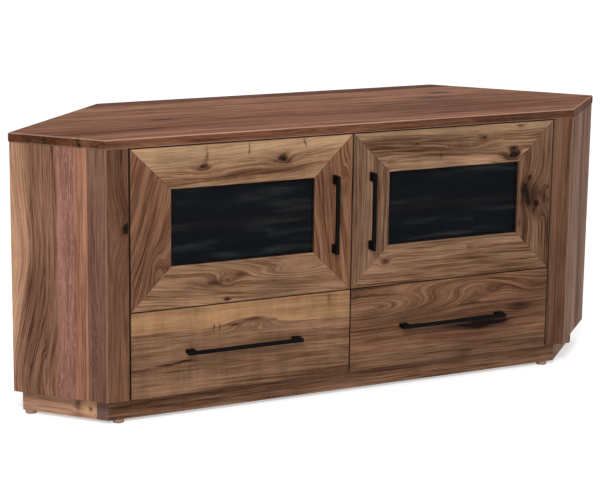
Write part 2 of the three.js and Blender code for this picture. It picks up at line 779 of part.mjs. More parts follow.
const carcass = addGroup(cabinet, 0, 0, 0);
topPanel(carcass);
bottomPanel(carcass);
centreDivider(carcass);
backPanels(carcass);
plinth(carcass);
for (const [side, hand] of Object.entries(handSigns)) {
  frontPost(carcass, `front_post_${side}`, hand);
  sidePanel(carcass, `side_panel_${side}`, hand);
  partition(carcass, `partition_${side}`, hand);
  midShelf(carcass, `mid_shelf_${side}`, hand);
  adjustableShelf(carcass, `shelf_${side}`, hand);
  hingeArms(carcass, side, hand);
  runnerPair(carcass, side, hand);
  door(cabinet, side, hand);
  drawer(cabinet, side, hand);
}

export default cabinet;
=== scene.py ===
import math

import bpy
from mathutils import Matrix, Vector


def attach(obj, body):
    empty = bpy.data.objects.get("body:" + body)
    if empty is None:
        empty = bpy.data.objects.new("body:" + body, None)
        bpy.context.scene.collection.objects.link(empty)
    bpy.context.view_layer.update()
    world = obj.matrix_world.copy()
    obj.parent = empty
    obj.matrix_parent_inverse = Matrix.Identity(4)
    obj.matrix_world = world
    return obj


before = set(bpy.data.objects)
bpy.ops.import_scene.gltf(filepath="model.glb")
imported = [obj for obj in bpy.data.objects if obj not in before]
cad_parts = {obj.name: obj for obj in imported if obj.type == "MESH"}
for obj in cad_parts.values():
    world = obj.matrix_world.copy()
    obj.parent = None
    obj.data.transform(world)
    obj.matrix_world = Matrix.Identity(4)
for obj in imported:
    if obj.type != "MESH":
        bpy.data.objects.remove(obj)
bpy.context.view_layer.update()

scene = bpy.context.scene
print("frame loaded")


# Camera, fitted to the photograph's frame of 600 x 500 pixels

camera = {
    "place": (-1.7903, -3.7904, 1.3358),
    "pitch": -11.68,  # degrees, as are roll and yaw
    "roll": -0.96,
    "yaw": -25.95,
    "focalPixels": 1802.7,
    "centrePixel": (332.0, 180.0),
    "framePixels": (600, 500),
    "sensor": 36.0,
    "clip": (0.1, 60.0),
}


def addObject(name, data):
    made = bpy.data.objects.new(name, data)
    scene.collection.objects.link(made)
    return made


def makeCamera(spec):
    data = bpy.data.cameras.new("photoCamera")
    width, height = spec["framePixels"]
    data.sensor_width = spec["sensor"]
    data.lens = spec["sensor"] * spec["focalPixels"] / width
    data.shift_x = (width / 2 - spec["centrePixel"][0]) / width
    data.shift_y = (spec["centrePixel"][1] - height / 2) / width
    data.clip_start, data.clip_end = spec["clip"]
    cameraObject = addObject("photoCamera", data)
    turn = Matrix.Identity(4)
    for degrees, axis in ((spec["yaw"], "Z"), (spec["pitch"], "X"), (spec["roll"], "Y"), (90, "X")):
        turn = turn @ Matrix.Rotation(math.radians(degrees), 4, axis)
    cameraObject.matrix_world = Matrix.Translation(spec["place"]) @ turn
    scene.camera = cameraObject


makeCamera(camera)
print("camera set")


# Small helpers for node trees

def feed(tree, socket, value):
    if isinstance(value, bpy.types.NodeSocket):
        tree.links.new(value, socket)
    else:
        socket.default_value = value


def addNode(tree, kind, inputs=None, **settings):
    node = tree.nodes.new(kind)
    for name, value in settings.items():
        setattr(node, name, value)
    for key, value in (inputs or {}).items():
        feed(tree, node.inputs[key], value)
    return node


def calc(tree, operation, *values, clamp=False):
    node = addNode(tree, "ShaderNodeMath", operation=operation, use_clamp=clamp)
    for i, value in enumerate(values):
        feed(tree, node.inputs[i], value)
    return node.outputs[0]


def vectorCalc(tree, operation, *values):
    node = addNode(tree, "ShaderNodeVectorMath", operation=operation)
    for i, value in enumerate(values):
        feed(tree, node.inputs[i], value)
    return node.outputs["Value" if operation in ("DOT_PRODUCT", "LENGTH") else "Vector"]


def mixColour(tree, factor, first, second, mode="MIX"):
    inputs = {"Factor": factor, 6: first, 7: second}  # 6 and 7 are the colour pair of a Mix node
    return addNode(tree, "ShaderNodeMix", inputs, data_type="RGBA", blend_type=mode).outputs[2]


def remap(tree, value, low, high, newLow=0.0, newHigh=1.0, smooth=False):
    node = addNode(tree, "ShaderNodeMapRange", interpolation_type="SMOOTHSTEP" if smooth else "LINEAR")
    for i, item in enumerate((value, low, high, newLow, newHigh)):
        feed(tree, node.inputs[i], item)
    return node.outputs[0]


def times(tree, first, second):
    return calc(tree, "MULTIPLY", first, second)


def combine(tree, *parts):
    return addNode(tree, "ShaderNodeCombineXYZ", dict(enumerate(parts))).outputs[0]


def between(tree, value, low, high):
    # 1 where the value lies between the two, and 0 elsewhere
    above, below = calc(tree, "GREATER_THAN", value, low), calc(tree, "LESS_THAN", value, high)
    return times(tree, above, below)


def facingShare(tree, normal, line):
    # 1 on a face that looks along the line, either way, down to 0 on one that looks across it
    return calc(tree, "ABSOLUTE", vectorCalc(tree, "DOT_PRODUCT", normal, line))


def noise(tree, vector, detail=2.0, roughness=0.5, scale=1.0):
    inputs = {"Vector": vector, "Scale": scale, "Detail": detail, "Roughness": roughness}
    return addNode(tree, "ShaderNodeTexNoise", inputs).outputs[0]


def ramp(tree, value, stops, steps=False):
    node = addNode(tree, "ShaderNodeValToRGB", {"Fac": value})
    line = node.color_ramp
    line.interpolation = "CONSTANT" if steps else "LINEAR"
    while len(line.elements) < len(stops):
        line.elements.new(1.0)
    for element, (position, colour) in zip(line.elements, stops):
        element.position = position
        element.color = (*colour, 1.0)
    return node.outputs["Color"]


def grey(tree, level):
    return addNode(tree, "ShaderNodeCombineColor", {0: level, 1: level, 2: level}).outputs[0]


def newGroup(name, inputs, outputs):
    tree = bpy.data.node_groups.new(name, "ShaderNodeTree")
    for label, kind in inputs:
        tree.interface.new_socket(label, in_out="INPUT", socket_type=kind)
    for label, kind in outputs:
        tree.interface.new_socket(label, in_out="OUTPUT", socket_type=kind)
    return tree, tree.nodes.new("NodeGroupInput").outputs, tree.nodes.new("NodeGroupOutput").inputs


def srgb(red, green, blue):
    def linear(level):
        share = level / 255
        return share / 12.92 if share <= 0.04045 else ((share + 0.055) / 1.055) ** 2.4
    return (linear(red), linear(green), linear(blue))


def rgba(tone):
    return (*srgb(*tone), 1.0)


def shiftingColour(tree, factor, dark, light):
    return mixColour(tree, factor, rgba(dark), rgba(light))


# Walnut. A board has three directions: along the grain, across it on the face, and through the thickness.

white = (1.0, 1.0, 1.0, 1.0)
numberSocket, vectorSocket, colourSocket = "NodeSocketFloat", "NodeSocketVector", "NodeSocketColor"

walnutTones = {
    "sapBorder": (70, 40, 28),
    "knotAndPaintedShadeBrown": (84, 54, 40),
    "knotAndPaintedShadeBlack": (24, 17, 14),
    "paleKnot": (200, 158, 118),
    "fleck": (204, 166, 150),
    # the last is the pale tone of the painted highlight on eased edges
    "paintedEdgeHighlightTone": (206, 170, 144),
}
walnutFigure = {
    "slow": (1.3, 5.0),  # scales of the noise, along the grain and across it
    "quick": (6.5, 26.0),
    "broad": (1.4, 34.0),
    "streak": (4.0, 150.0),
    "fine": (11.0, 440.0),
    "pore": (85.0, 2100.0),
    "drift": (0.9, 15.0),
    "ringPatch": (2.0, 21.0),
    "patch": (2.6, 8.0),
    "curl": (30.0, 6.0),
    "smallCurl": (125.0, 40.0),
    "blotch": (8.0, 24.0),
    "quickShare": 0.26,
    "broadShare": 0.40,
    "streakShare": 0.35,
    "fineShare": 0.44,
    "smallCurlShare": 0.5,
    "patchShare": 0.7,
    "poreShare": 0.22,
    "lateWoodShare": -0.75,
    "ringsPerMetre": 88.0,
    "ringDrift": 9.0,
    "ringRise": (0.52, 0.92),  # reaches: from and to, and what these become
    "ringFall": (0.93, 1.0, 1.0, 0.0),
    "ringPatches": (0.36, 0.60, 0.15, 1.0),
    "poreReach": (0.60, 0.70),
    "paleReach": (0.50, 0.88),
    "grain": [(0.12, (0.27, 0.19, 0.15)), (0.30, (0.53, 0.44, 0.38)), (0.45, (0.86, 0.81, 0.77)),
              (0.55, (1.0, 1.0, 1.0))],
    "paleGrain": (1.55, 1.52, 1.40, 1.0),
    "knotAndPaintedShadeStreaks": (0.3, 0.6, 1.3, 0.7),
    "knotAndPaintedShadeReach": (0.05, 0.75, 0.0, 0.80),
    "blackReach": (0.55, 1.25, 0.0, 0.96),
    "heightShares": (0.5, -0.6),  # of the fine streaks and the pores
    "roughness": (0.3, 0.7, 0.64, 0.50),
}


def swellGroup():
    # One spot that the growth rings bend round: a knot, an eye, or the loops of a cathedral figure. With no
    # push or part, it lays only a band of painted shade
    labels = ("Lift", "Shade", "Centre Along", "Centre Across", "Half Length", "Half Width", "Push", "Part",
              "Dark")
    inputs = [("Place", vectorSocket)] + [(label, numberSocket) for label in labels]
    tree, given, result = newGroup("grainSwell", inputs, [("Lift", numberSocket), ("Shade", numberSocket)])
    place = addNode(tree, "ShaderNodeSeparateXYZ", {0: given["Place"]}).outputs
    alongOff = calc(tree, "SUBTRACT", place[0], given["Centre Along"])
    acrossOff = calc(tree, "SUBTRACT", place[1], given["Centre Across"])
    alongShare = calc(tree, "DIVIDE", alongOff, given["Half Length"])
    acrossShare = calc(tree, "DIVIDE", acrossOff, given["Half Width"])
    squares = calc(tree, "ADD", times(tree, alongShare, alongShare), times(tree, acrossShare, acrossShare))
    bell = calc(tree, "EXPONENT", times(tree, squares, -1.0))
    parting = times(tree, acrossOff, given["Part"])
    rise = times(tree, bell, calc(tree, "SUBTRACT", given["Push"], parting))
    core = calc(tree, "EXPONENT", times(tree, squares, -1.5))
    shading = times(tree, core, given["Dark"])
    feed(tree, result["Lift"], calc(tree, "ADD", given["Lift"], rise))
    feed(tree, result["Shade"], calc(tree, "ADD", given["Shade"], shading))
    return tree


def walnutGroup(spec, tones):
    labels = ("Lift", "Shade", "Seed", "Contrast", "Wander", "Curl", "Rings", "Sap From", "Sap To",
              "Sap Line", "Blotch")
    inputs = [("Place", vectorSocket), ("Tone", colourSocket), ("Sap Tone", colourSocket)]
    inputs += [(label, numberSocket) for label in labels]
    outputs = [("Colour", colourSocket), ("Roughness", numberSocket), ("Height", numberSocket)]
    tree, given, result = newGroup("walnutFigure", inputs, outputs)
    seed = given["Seed"]
    seedShift = combine(tree, seed, times(tree, seed, 2.7), times(tree, seed, -1.9))

    def layer(source, name, detail=2.0, roughness=0.5):
        alongScale, acrossScale = spec[name]
        stretched = vectorCalc(tree, "MULTIPLY", source, (alongScale, acrossScale, acrossScale))
        return noise(tree, vectorCalc(tree, "ADD", stretched, seedShift), detail, roughness)

    def aboutZero(value):
        return calc(tree, "SUBTRACT", value, 0.5)

    def weighted(*pairs):
        total = 0.0
        for value, weight in pairs:
            total = calc(tree, "ADD", total, times(tree, value, weight))
        return total

    # Where a point lies among the growth rings, once the grain has strayed and bent round the knots
    place = addNode(tree, "ShaderNodeSeparateXYZ", {0: given["Place"]}).outputs
    slow = aboutZero(layer(given["Place"], "slow"))
    quick = aboutZero(layer(given["Place"], "quick", 3.0))
    sway = times(tree, weighted((slow, 1.0), (quick, spec["quickShare"])), given["Wander"])
    across = calc(tree, "ADD", calc(tree, "ADD", place[1], given["Lift"]), sway)
    rings = combine(tree, place[0], across, place[2])

    # Light and dark streaks
    broad = layer(rings, "broad", 3.0, 0.55)
    streak = layer(rings, "streak", 3.0, 0.6)
    fine = layer(rings, "fine", 2.0, 0.6)
    figure = weighted((aboutZero(broad), spec["broadShare"]), (aboutZero(streak), spec["streakShare"]),
                      (aboutZero(fine), spec["fineShare"]))
    figure = calc(tree, "ADD", times(tree, figure, given["Contrast"]), 0.5)
    pale = remap(tree, figure, *spec["paleReach"])
    paler = mixColour(tree, pale, white, spec["paleGrain"])
    grain = mixColour(tree, 1.0, ramp(tree, figure, spec["grain"]), paler, "MULTIPLY")

    # Thin dark lines of late wood
    drift = layer(rings, "drift", 1.0)
    phase = calc(tree, "FRACT", weighted((across, spec["ringsPerMetre"]), (drift, spec["ringDrift"])))
    rise, fall = remap(tree, phase, *spec["ringRise"]), remap(tree, phase, *spec["ringFall"])
    lateWood = times(tree, rise, fall)
    ringPatch = remap(tree, layer(rings, "ringPatch"), *spec["ringPatches"], smooth=True)
    lateWood = times(tree, times(tree, lateWood, ringPatch), given["Rings"])

    # Patches, bars across the grain, and pores
    patch = aboutZero(layer(given["Place"], "patch"))
    curl = weighted((aboutZero(layer(given["Place"], "curl", 3.0)), 1.0),
                    (aboutZero(layer(given["Place"], "smallCurl")), spec["smallCurlShare"]))
    blotch = aboutZero(layer(given["Place"], "blotch", 3.0, 0.6))
    level = weighted((patch, spec["patchShare"]), (lateWood, spec["lateWoodShare"]),
                     (blotch, given["Blotch"]))
    level = calc(tree, "ADD", 1.0, level)
    level = calc(tree, "ADD", level, times(tree, curl, given["Curl"]))
    poreMark = remap(tree, layer(rings, "pore", 1.0), *spec["poreReach"], smooth=True)
    level = calc(tree, "SUBTRACT", level, times(tree, poreMark, spec["poreShare"]))

    # Sapwood, with a darker line where it begins
    sapwood = remap(tree, across, given["Sap From"], given["Sap To"], smooth=True)
    wood = mixColour(tree, sapwood, given["Tone"], given["Sap Tone"])
    border = times(tree, sapwood, calc(tree, "SUBTRACT", 1.0, sapwood))
    border = times(tree, border, given["Sap Line"])
    wood = mixColour(tree, border, wood, rgba(tones["sapBorder"]))
    grain = mixColour(tree, times(tree, sapwood, 0.5), grain, white)
    wood = mixColour(tree, 1.0, wood, grain, "MULTIPLY")
    wood = mixColour(tree, 1.0, wood, grey(tree, level), "MULTIPLY")

    # Knots and bands of painted shade: brown, then nearly black where the shade is deepest, and pale knots
    # where it is negative
    knotAndPaintedShade = times(tree, given["Shade"], remap(tree, streak, *spec["knotAndPaintedShadeStreaks"]))
    wood = mixColour(tree, remap(tree, knotAndPaintedShade, *spec["knotAndPaintedShadeReach"]), wood, rgba(tones["knotAndPaintedShadeBrown"]))
    wood = mixColour(tree, remap(tree, knotAndPaintedShade, *spec["blackReach"]), wood, rgba(tones["knotAndPaintedShadeBlack"]))
    paleShade = calc(tree, "MULTIPLY", given["Shade"], -1.0, clamp=True)
    wood = mixColour(tree, paleShade, wood, rgba(tones["paleKnot"]))

    feed(tree, result["Colour"], wood)
    feed(tree, result["Roughness"], remap(tree, figure, *spec["roughness"]))
    feed(tree, result["Height"], weighted(*zip((fine, poreMark), spec["heightShares"])))
    return tree


swell = swellGroup()
walnut = walnutGroup(walnutFigure, walnutTones)

root = math.sqrt(0.5)
lieX = {"along": (1, 0, 0), "across": (0, 0, 1)}  # rails and drawer fronts
lieY = {"along": (0, 1, 0), "across": (0, 0, 1)}  # sides of drawers
standing = {"along": (0, 0, 1), "across": (1, 0, 0)}  # stiles and posts
standingDeep = {"along": (0, 0, 1), "across": (0, 1, 0)}  # divider and partitions
flatX = {"along": (1, 0, 0), "across": (0, 1, 0)}  # top, shelves and bottom
cornerPlace = (0.586, -0.2199)  # front corner of the plan, where post and side meet


def slanted(hand):
    # A side board at 45 degrees; across counts from the front corner towards the widest corner
    start = root * (cornerPlace[0] + cornerPlace[1])
    return {"along": (0, 0, 1), "across": (hand * root, root, 0), "start": start}


def slantedLevel(hand):
    return {"along": (hand * root, root, 0), "across": (0, 0, 1)}


# What a board has unless its own dictionary says otherwise. A board gives its grain, seed and tone. It may
# give boards and boardsEnd in place of tone, slope and contrast, flecks as (from, to, amount), endTone for
# ends whose figure hardly shows, a level of painted shade for narrow edges that face into the gaps, and
# glideTop and glideTones.
# Knots, and a few bands of painted shade, are (along, across, half length, half width, push, part,
# darkness), in metres.
plainBoard = {
    "slope": 0.0,  # of the grain against the board
    "slopeFrom": 0.0,
    "contrast": 2.4,
    "wander": 0.05,  # how far the grain strays
    "curl": 0.14,  # bars across the grain
    "rings": 0.35,  # lines of late wood
    "blotch": 0.45,
    "knotsAndPaintedShade": [],
    "stir": 1.0,  # how far the outlines of knots waver
    "sap": (9.0, 10.0, (0, 0, 0)),  # from, to and tone, here far off the board
    "sapLine": 0.0,
    # painted highlight on the eased edges, as a share of the pale tone
    "paintedEdgeHighlight": 0.40,
    "paintedHighlightLevelOnly": False,  # whether only level eased edges get the painted highlight
    "endGrainAndPaintedShade": 0.5,  # end grain takes up more finish; lower values also paint shade, on ends that face into gaps
    "paintedUprightShading": 1.0,  # painted shade below 1 and painted light above 1, on the upright faces
}
woodSurface = {
    "seedSpread": 37.0,  # between the first and last of a panel's boards
    "contrastReach": 5.0,
    "waverScale": 46.0,
    "waver": (0.026, 0.012, 0.0),
    "fleckScale": (60.0, 330.0, 330.0),
    "fleckReach": (0.52, 0.68),
    "endReach": (0.50, 0.65, 0.0, 0.8),  # of an end's own tone
    "easedReach": (0.985, 0.95),
    "levelRise": (0.1, 0.3),
    "levelFall": (0.97, 0.9),
    "bump": {"Strength": 0.25, "Distance": 0.0006},
    "specular": 0.03,
    "glideSpeckle": 300.0,
}


def boardTraits(tree, across, board):
    # Tone, seed, slope and contrast of the glued board in which a point lies
    rows, end = board["boards"], board["boardsEnd"]
    low, reach = rows[0][0], woodSurface["contrastReach"]
    share = remap(tree, across, low, end)
    edges = [(start - low) / (end - low) for start, *_ in rows]
    tones = [srgb(*tone) for _, tone, _, _ in rows]
    traits = [(i / len(rows), 0.5 + slope, contrast / reach)
              for i, (_, _, slope, contrast) in enumerate(rows)]
    picked = ramp(tree, share, list(zip(edges, traits)), True)
    picked = addNode(tree, "ShaderNodeSeparateColor", {0: picked}).outputs
    seed = calc(tree, "ADD", times(tree, picked[0], woodSurface["seedSpread"]), board["seed"])
    slope = calc(tree, "SUBTRACT", picked[1], 0.5)
    contrast = times(tree, picked[2], reach)
    return ramp(tree, share, list(zip(edges, tones)), True), seed, slope, contrast


def addKnotsAndPaintedShade(tree, place, across, lift, board):
    shade = 0.0
    for centreAlong, centreAcross, halfLength, halfWidth, push, part, dark in board["knotsAndPaintedShade"]:
        if "boards" in board:  # a knot, or a band of painted shade, stays within its own board
            starts = [row[0] for row in board["boards"]] + [board["boardsEnd"]]
            low = max(start for start in starts if start <= centreAcross)
            high = min(start for start in starts if start > centreAcross)
            inside = between(tree, across, low, high)
            push, part, dark = (times(tree, inside, value) for value in (push, part, dark))
        node = addNode(tree, "ShaderNodeGroup", {
            "Place": place, "Lift": lift, "Shade": shade, "Centre Along": centreAlong,
            "Centre Across": centreAcross, "Half Length": halfLength, "Half Width": halfWidth,
            "Push": push, "Part": part, "Dark": dark}, node_tree=swell)
        lift, shade = node.outputs["Lift"], node.outputs["Shade"]
    return lift, shade


def paintedEdgeHighlightMask(tree, normal, directions, levelOnly):
    # Painted highlight on eased edges, which show as faces that look along none of the board's three
    # directions; with levelOnly, only on faces that look partly upward, towards the light
    if levelOnly:
        upward = facingShare(tree, normal, (0, 0, 1))
        rise, fall = woodSurface["levelRise"], woodSurface["levelFall"]
        return times(tree, remap(tree, upward, *rise), remap(tree, upward, *fall))
    along, across, depth = (facingShare(tree, normal, line) for line in directions)
    largest = calc(tree, "MAXIMUM", calc(tree, "MAXIMUM", along, across), depth)
    return remap(tree, largest, *woodSurface["easedReach"])


def paintedFaceShading(tree, normal, board):
    # Painted light and shade of each face, by the way it looks, along with darker end grain
    way = board["grain"]
    endGrainAndPaintedShade = remap(tree, facingShare(tree, normal, way["along"]), 0.0, 1.0, 1.0, board["endGrainAndPaintedShade"])
    paintedUprightShading = remap(tree, facingShare(tree, normal, (0, 0, 1)), 0.0, 0.6, board["paintedUprightShading"], 1.0)
    level = times(tree, endGrainAndPaintedShade, paintedUprightShading)
    if "paintedGapShade" in board:  # painted shade on narrow edges, which face into the gaps
        paintedGapShade = remap(tree, facingShare(tree, normal, way["across"]), 0.0, 1.0, 1.0, board["paintedGapShade"])
        level = times(tree, level, paintedGapShade)
    return grey(tree, level)


def emptyMaterial(name):
    material = bpy.data.materials.new(name)
    material.use_nodes = True
    material.node_tree.nodes.clear()
    return material, material.node_tree


def woodMaterial(name, ownBoard):
    board = {**plainBoard, **ownBoard}
    spec = woodSurface
    material, tree = emptyMaterial(name)
    source = addNode(tree, "ShaderNodeTexCoord").outputs
    way = board["grain"]
    through = Vector(way["along"]).cross(Vector(way["across"]))
    directions = (way["along"], way["across"], tuple(through))
    along, across, depth = (vectorCalc(tree, "DOT_PRODUCT", source["Object"], line) for line in directions)
    across = calc(tree, "SUBTRACT", across, way.get("start", 0.0))
    if "boards" in board:
        tone, seed, slope, contrast = boardTraits(tree, across, board)
    else:
        tone, seed, slope, contrast = rgba(board["tone"]), board["seed"], board["slope"], board["contrast"]
    tilt = times(tree, calc(tree, "SUBTRACT", along, board["slopeFrom"]), slope)

    place = combine(tree, along, across, depth)
    inputs = {"Vector": place, "Scale": spec["waverScale"], "Detail": 3.0}
    rough = addNode(tree, "ShaderNodeTexNoise", inputs).outputs["Color"]
    shake = vectorCalc(tree, "SUBTRACT", rough, (0.5, 0.5, 0.5))
    waver = tuple(reach * board["stir"] for reach in spec["waver"])
    waveredPlace = vectorCalc(tree, "ADD", place, vectorCalc(tree, "MULTIPLY", shake, waver))
    lift, shade = addKnotsAndPaintedShade(tree, waveredPlace, across, tilt, board)

    sapFrom, sapTo, sapTone = board["sap"]
    wood = addNode(tree, "ShaderNodeGroup", {
        "Place": place, "Tone": tone, "Sap Tone": rgba(sapTone), "Sap From": sapFrom, "Sap To": sapTo,
        "Lift": lift, "Shade": shade, "Seed": seed, "Contrast": contrast, "Wander": board["wander"],
        "Curl": board["curl"], "Rings": board["rings"], "Sap Line": board["sapLine"],
        "Blotch": board["blotch"]}, node_tree=walnut).outputs
    finish = wood["Colour"]
    if "flecks" in board:  # short curly marks that catch the light
        low, high, amount = board["flecks"]
        mark = noise(tree, vectorCalc(tree, "MULTIPLY", waveredPlace, spec["fleckScale"]))
        mark = remap(tree, mark, *spec["fleckReach"])
        mark = times(tree, mark, between(tree, across, low, high))
        finish = mixColour(tree, times(tree, mark, amount), finish, rgba(walnutTones["fleck"]))
    # painted highlight, mixed towards a pale tone on the eased edges
    paintedHighlight = paintedEdgeHighlightMask(tree, source["Normal"], directions, board["paintedHighlightLevelOnly"])
    paintedHighlight = times(tree, paintedHighlight, board["paintedEdgeHighlight"])
    finish = mixColour(tree, paintedHighlight, finish, rgba(walnutTones["paintedEdgeHighlightTone"]))
    if "endTone" in board:
        endShare = remap(tree, facingShare(tree, source["Normal"], way["along"]), *spec["endReach"])
        finish = mixColour(tree, endShare, finish, rgba(board["endTone"]))
    finish = mixColour(tree, 1.0, finish, paintedFaceShading(tree, source["Normal"], board), "MULTIPLY")
    if "glideTop" in board:  # the glides are one solid with their plinth board and stand below it
        height = addNode(tree, "ShaderNodeSeparateXYZ", {0: source["Object"]}).outputs[2]
        plastic = noise(tree, place, scale=spec["glideSpeckle"])
        plastic = shiftingColour(tree, plastic, *board["glideTones"])
        finish = mixColour(tree, calc(tree, "LESS_THAN", height, board["glideTop"]), finish, plastic)

    bump = addNode(tree, "ShaderNodeBump", {"Height": wood["Height"], **spec["bump"]}).outputs[0]
    shader = addNode(tree, "ShaderNodeBsdfPrincipled", {
        "Base Color": finish, "Roughness": wood["Roughness"], "Normal": bump,
        "Specular IOR Level": spec["specular"]})
    addNode(tree, "ShaderNodeOutputMaterial", {0: shader.outputs[0]})
    return material


def dress(nodeName, material):
    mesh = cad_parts[nodeName].data
    mesh.materials.clear()
    mesh.materials.append(material)


# Top

topBoards = {
    "grain": flatX,
    "seed": 4.3,
    "boards": [  # front edge, tone, slope of its grain, contrast
        (-0.2450, (132, 88, 67), 0.01, 2.2),
        (-0.1650, (112, 70, 49), -0.02, 2.2),
        (-0.0600, (120, 78, 56), 0.015, 2.3),
        (0.0250, (127, 84, 62), 0.02, 2.5),
        (0.0900, (137, 94, 71), -0.01, 2.1),
        (0.1950, (100, 60, 43), 0.0, 2.0),
    ],
    "boardsEnd": 0.2450,
    "knotsAndPaintedShade": [
        (-0.385, -0.022, 0.045, 0.008, 0.01, 0.6, 1.2),
        (0.4, 0.108, 0.055, 0.015, 0.012, 0.3, 1.3),
        (0.345, 0.052, 0.04, 0.015, 0.014, 0.4, 1.2),
        (0.59, -0.104, 0.045, 0.012, 0.008, 0.4, 0.9),
        (-0.687, -0.119, 0.009, 0.012, 0.01, 0.4, 0.9),
        (-0.63, -0.176, 0.006, 0.012, 0.006, 0.4, 1),
        (-0.73, -0.11, 0.05, 0.04, 0, 0, 0.3),
        # the last two are not knots but painted shade on the right half of the front edge, which the light
        # from the left reaches less
        (0.4, -0.221, 0.3, 0.008, 0, 0, 0.35),
        (0.48, -0.221, 0.26, 0.006, 0, 0, 0.45),
    ],
    "curl": 0.06,
    "blotch": 0.1,
    # painted shade on the top's upright edges, and the painted highlight only on its level eased edges
    "paintedUprightShading": 0.63,
    "endGrainAndPaintedShade": 0.88,
    "paintedHighlightLevelOnly": True,
}
dress("top_panel", woodMaterial("walnutTop", topBoards))


# Sides and posts

leftSide = {
    "grain": slanted(-1),
    "seed": 11.7,
    "boards": [
        (0.0, (122, 89, 75), 0.0, 1.6),
        (0.045, (160, 114, 92), 0.0, 1.5),
        (0.076, (139, 97, 85), 0.0, 1.6),
        (0.119, (122, 88, 71), 0.0, 3.2),
    ],
    "boardsEnd": 0.2320,
    "sap": (0.188, 0.212, (182, 140, 112)),
    "knotsAndPaintedShade": [
        (0.39, 0.215, 0.12, 0.08, 0.017, 0, 0),
        (0.08, 0.185, 0.13, 0.08, -0.034, 0, 0.06),
        (0.2, 0.022, 0.055, 0.014, 0.016, 0.2, 0.14),
        (0.17, 0.15, 0.11, 0.008, 0, 0.5, 0.34),
        (0.11, 0.185, 0.09, 0.006, 0, 0.5, 0.34),
        (0.56, 0.16, 0.11, 0.006, 0, 0.5, 0.22),
        (0.105, 0.018, 0.06, 0.03, 0, 0, 0.3),
        (0.125, 0.024, 0.04, 0.012, 0.014, 0.5, 0.1),
        (0.17, 0.127, 0.12, 0.009, 0, 0, 0.42),
    ],
    "wander": 0.03,
    "curl": 0.20,
    "rings": 0.22,
    "flecks": (0.076, 0.119, 0.24),  # on the curly red board
    "blotch": 0.2,
    # painted highlight on the eased edges
    "paintedEdgeHighlight": 0.22,
}
dress("side_panel_left", woodMaterial("walnutSideLeft", leftSide))

rightSide = {
    "grain": slanted(1),
    "seed": 23.1,
    "boards": [
        (0.0, (124, 92, 76), 0.0, 2.0),
        (0.060, (135, 104, 88), 0.0, 1.7),
        (0.125, (125, 94, 78), 0.01, 2.0),
        (0.180, (131, 99, 83), 0.0, 1.8),
    ],
    "boardsEnd": 0.2320,
    "wander": 0.02,
    "blotch": 0.1,
    # a fainter painted highlight on the eased edges
    "paintedEdgeHighlight": 0.12,
}
dress("side_panel_right", woodMaterial("walnutSideRight", rightSide))

leftPost = {
    "grain": standing,
    "tone": (106, 74, 58),
    "seed": 31.4,
    "knotsAndPaintedShade": [
        (0.444, -0.541, 0.013, 0.011, 0.016, 0.8, 2.6),
        (0.44, -0.552, 0.07, 0.024, -0.02, 0.4, 0),
    ],
    "wander": 0.04,
    "rings": 0.2,
    # painted highlight on the eased edges, and painted shade on the narrow edges beside the door gaps
    "paintedEdgeHighlight": 0.22,
    "paintedGapShade": 0.4,
}
dress("front_post_left", woodMaterial("walnutPostLeft", leftPost))

rightPost = {
    "grain": standing,
    "tone": (108, 77, 61),
    "seed": 37.9,
    "contrast": 1.6,
    "wander": 0.025,
    "rings": 0.2,
    # painted highlight on the eased edges, and painted shade on the narrow edges beside the door gaps
    "paintedEdgeHighlight": 0.12,
    "paintedGapShade": 0.4,
}
dress("front_post_right", woodMaterial("walnutPostRight", rightPost))


# Doors

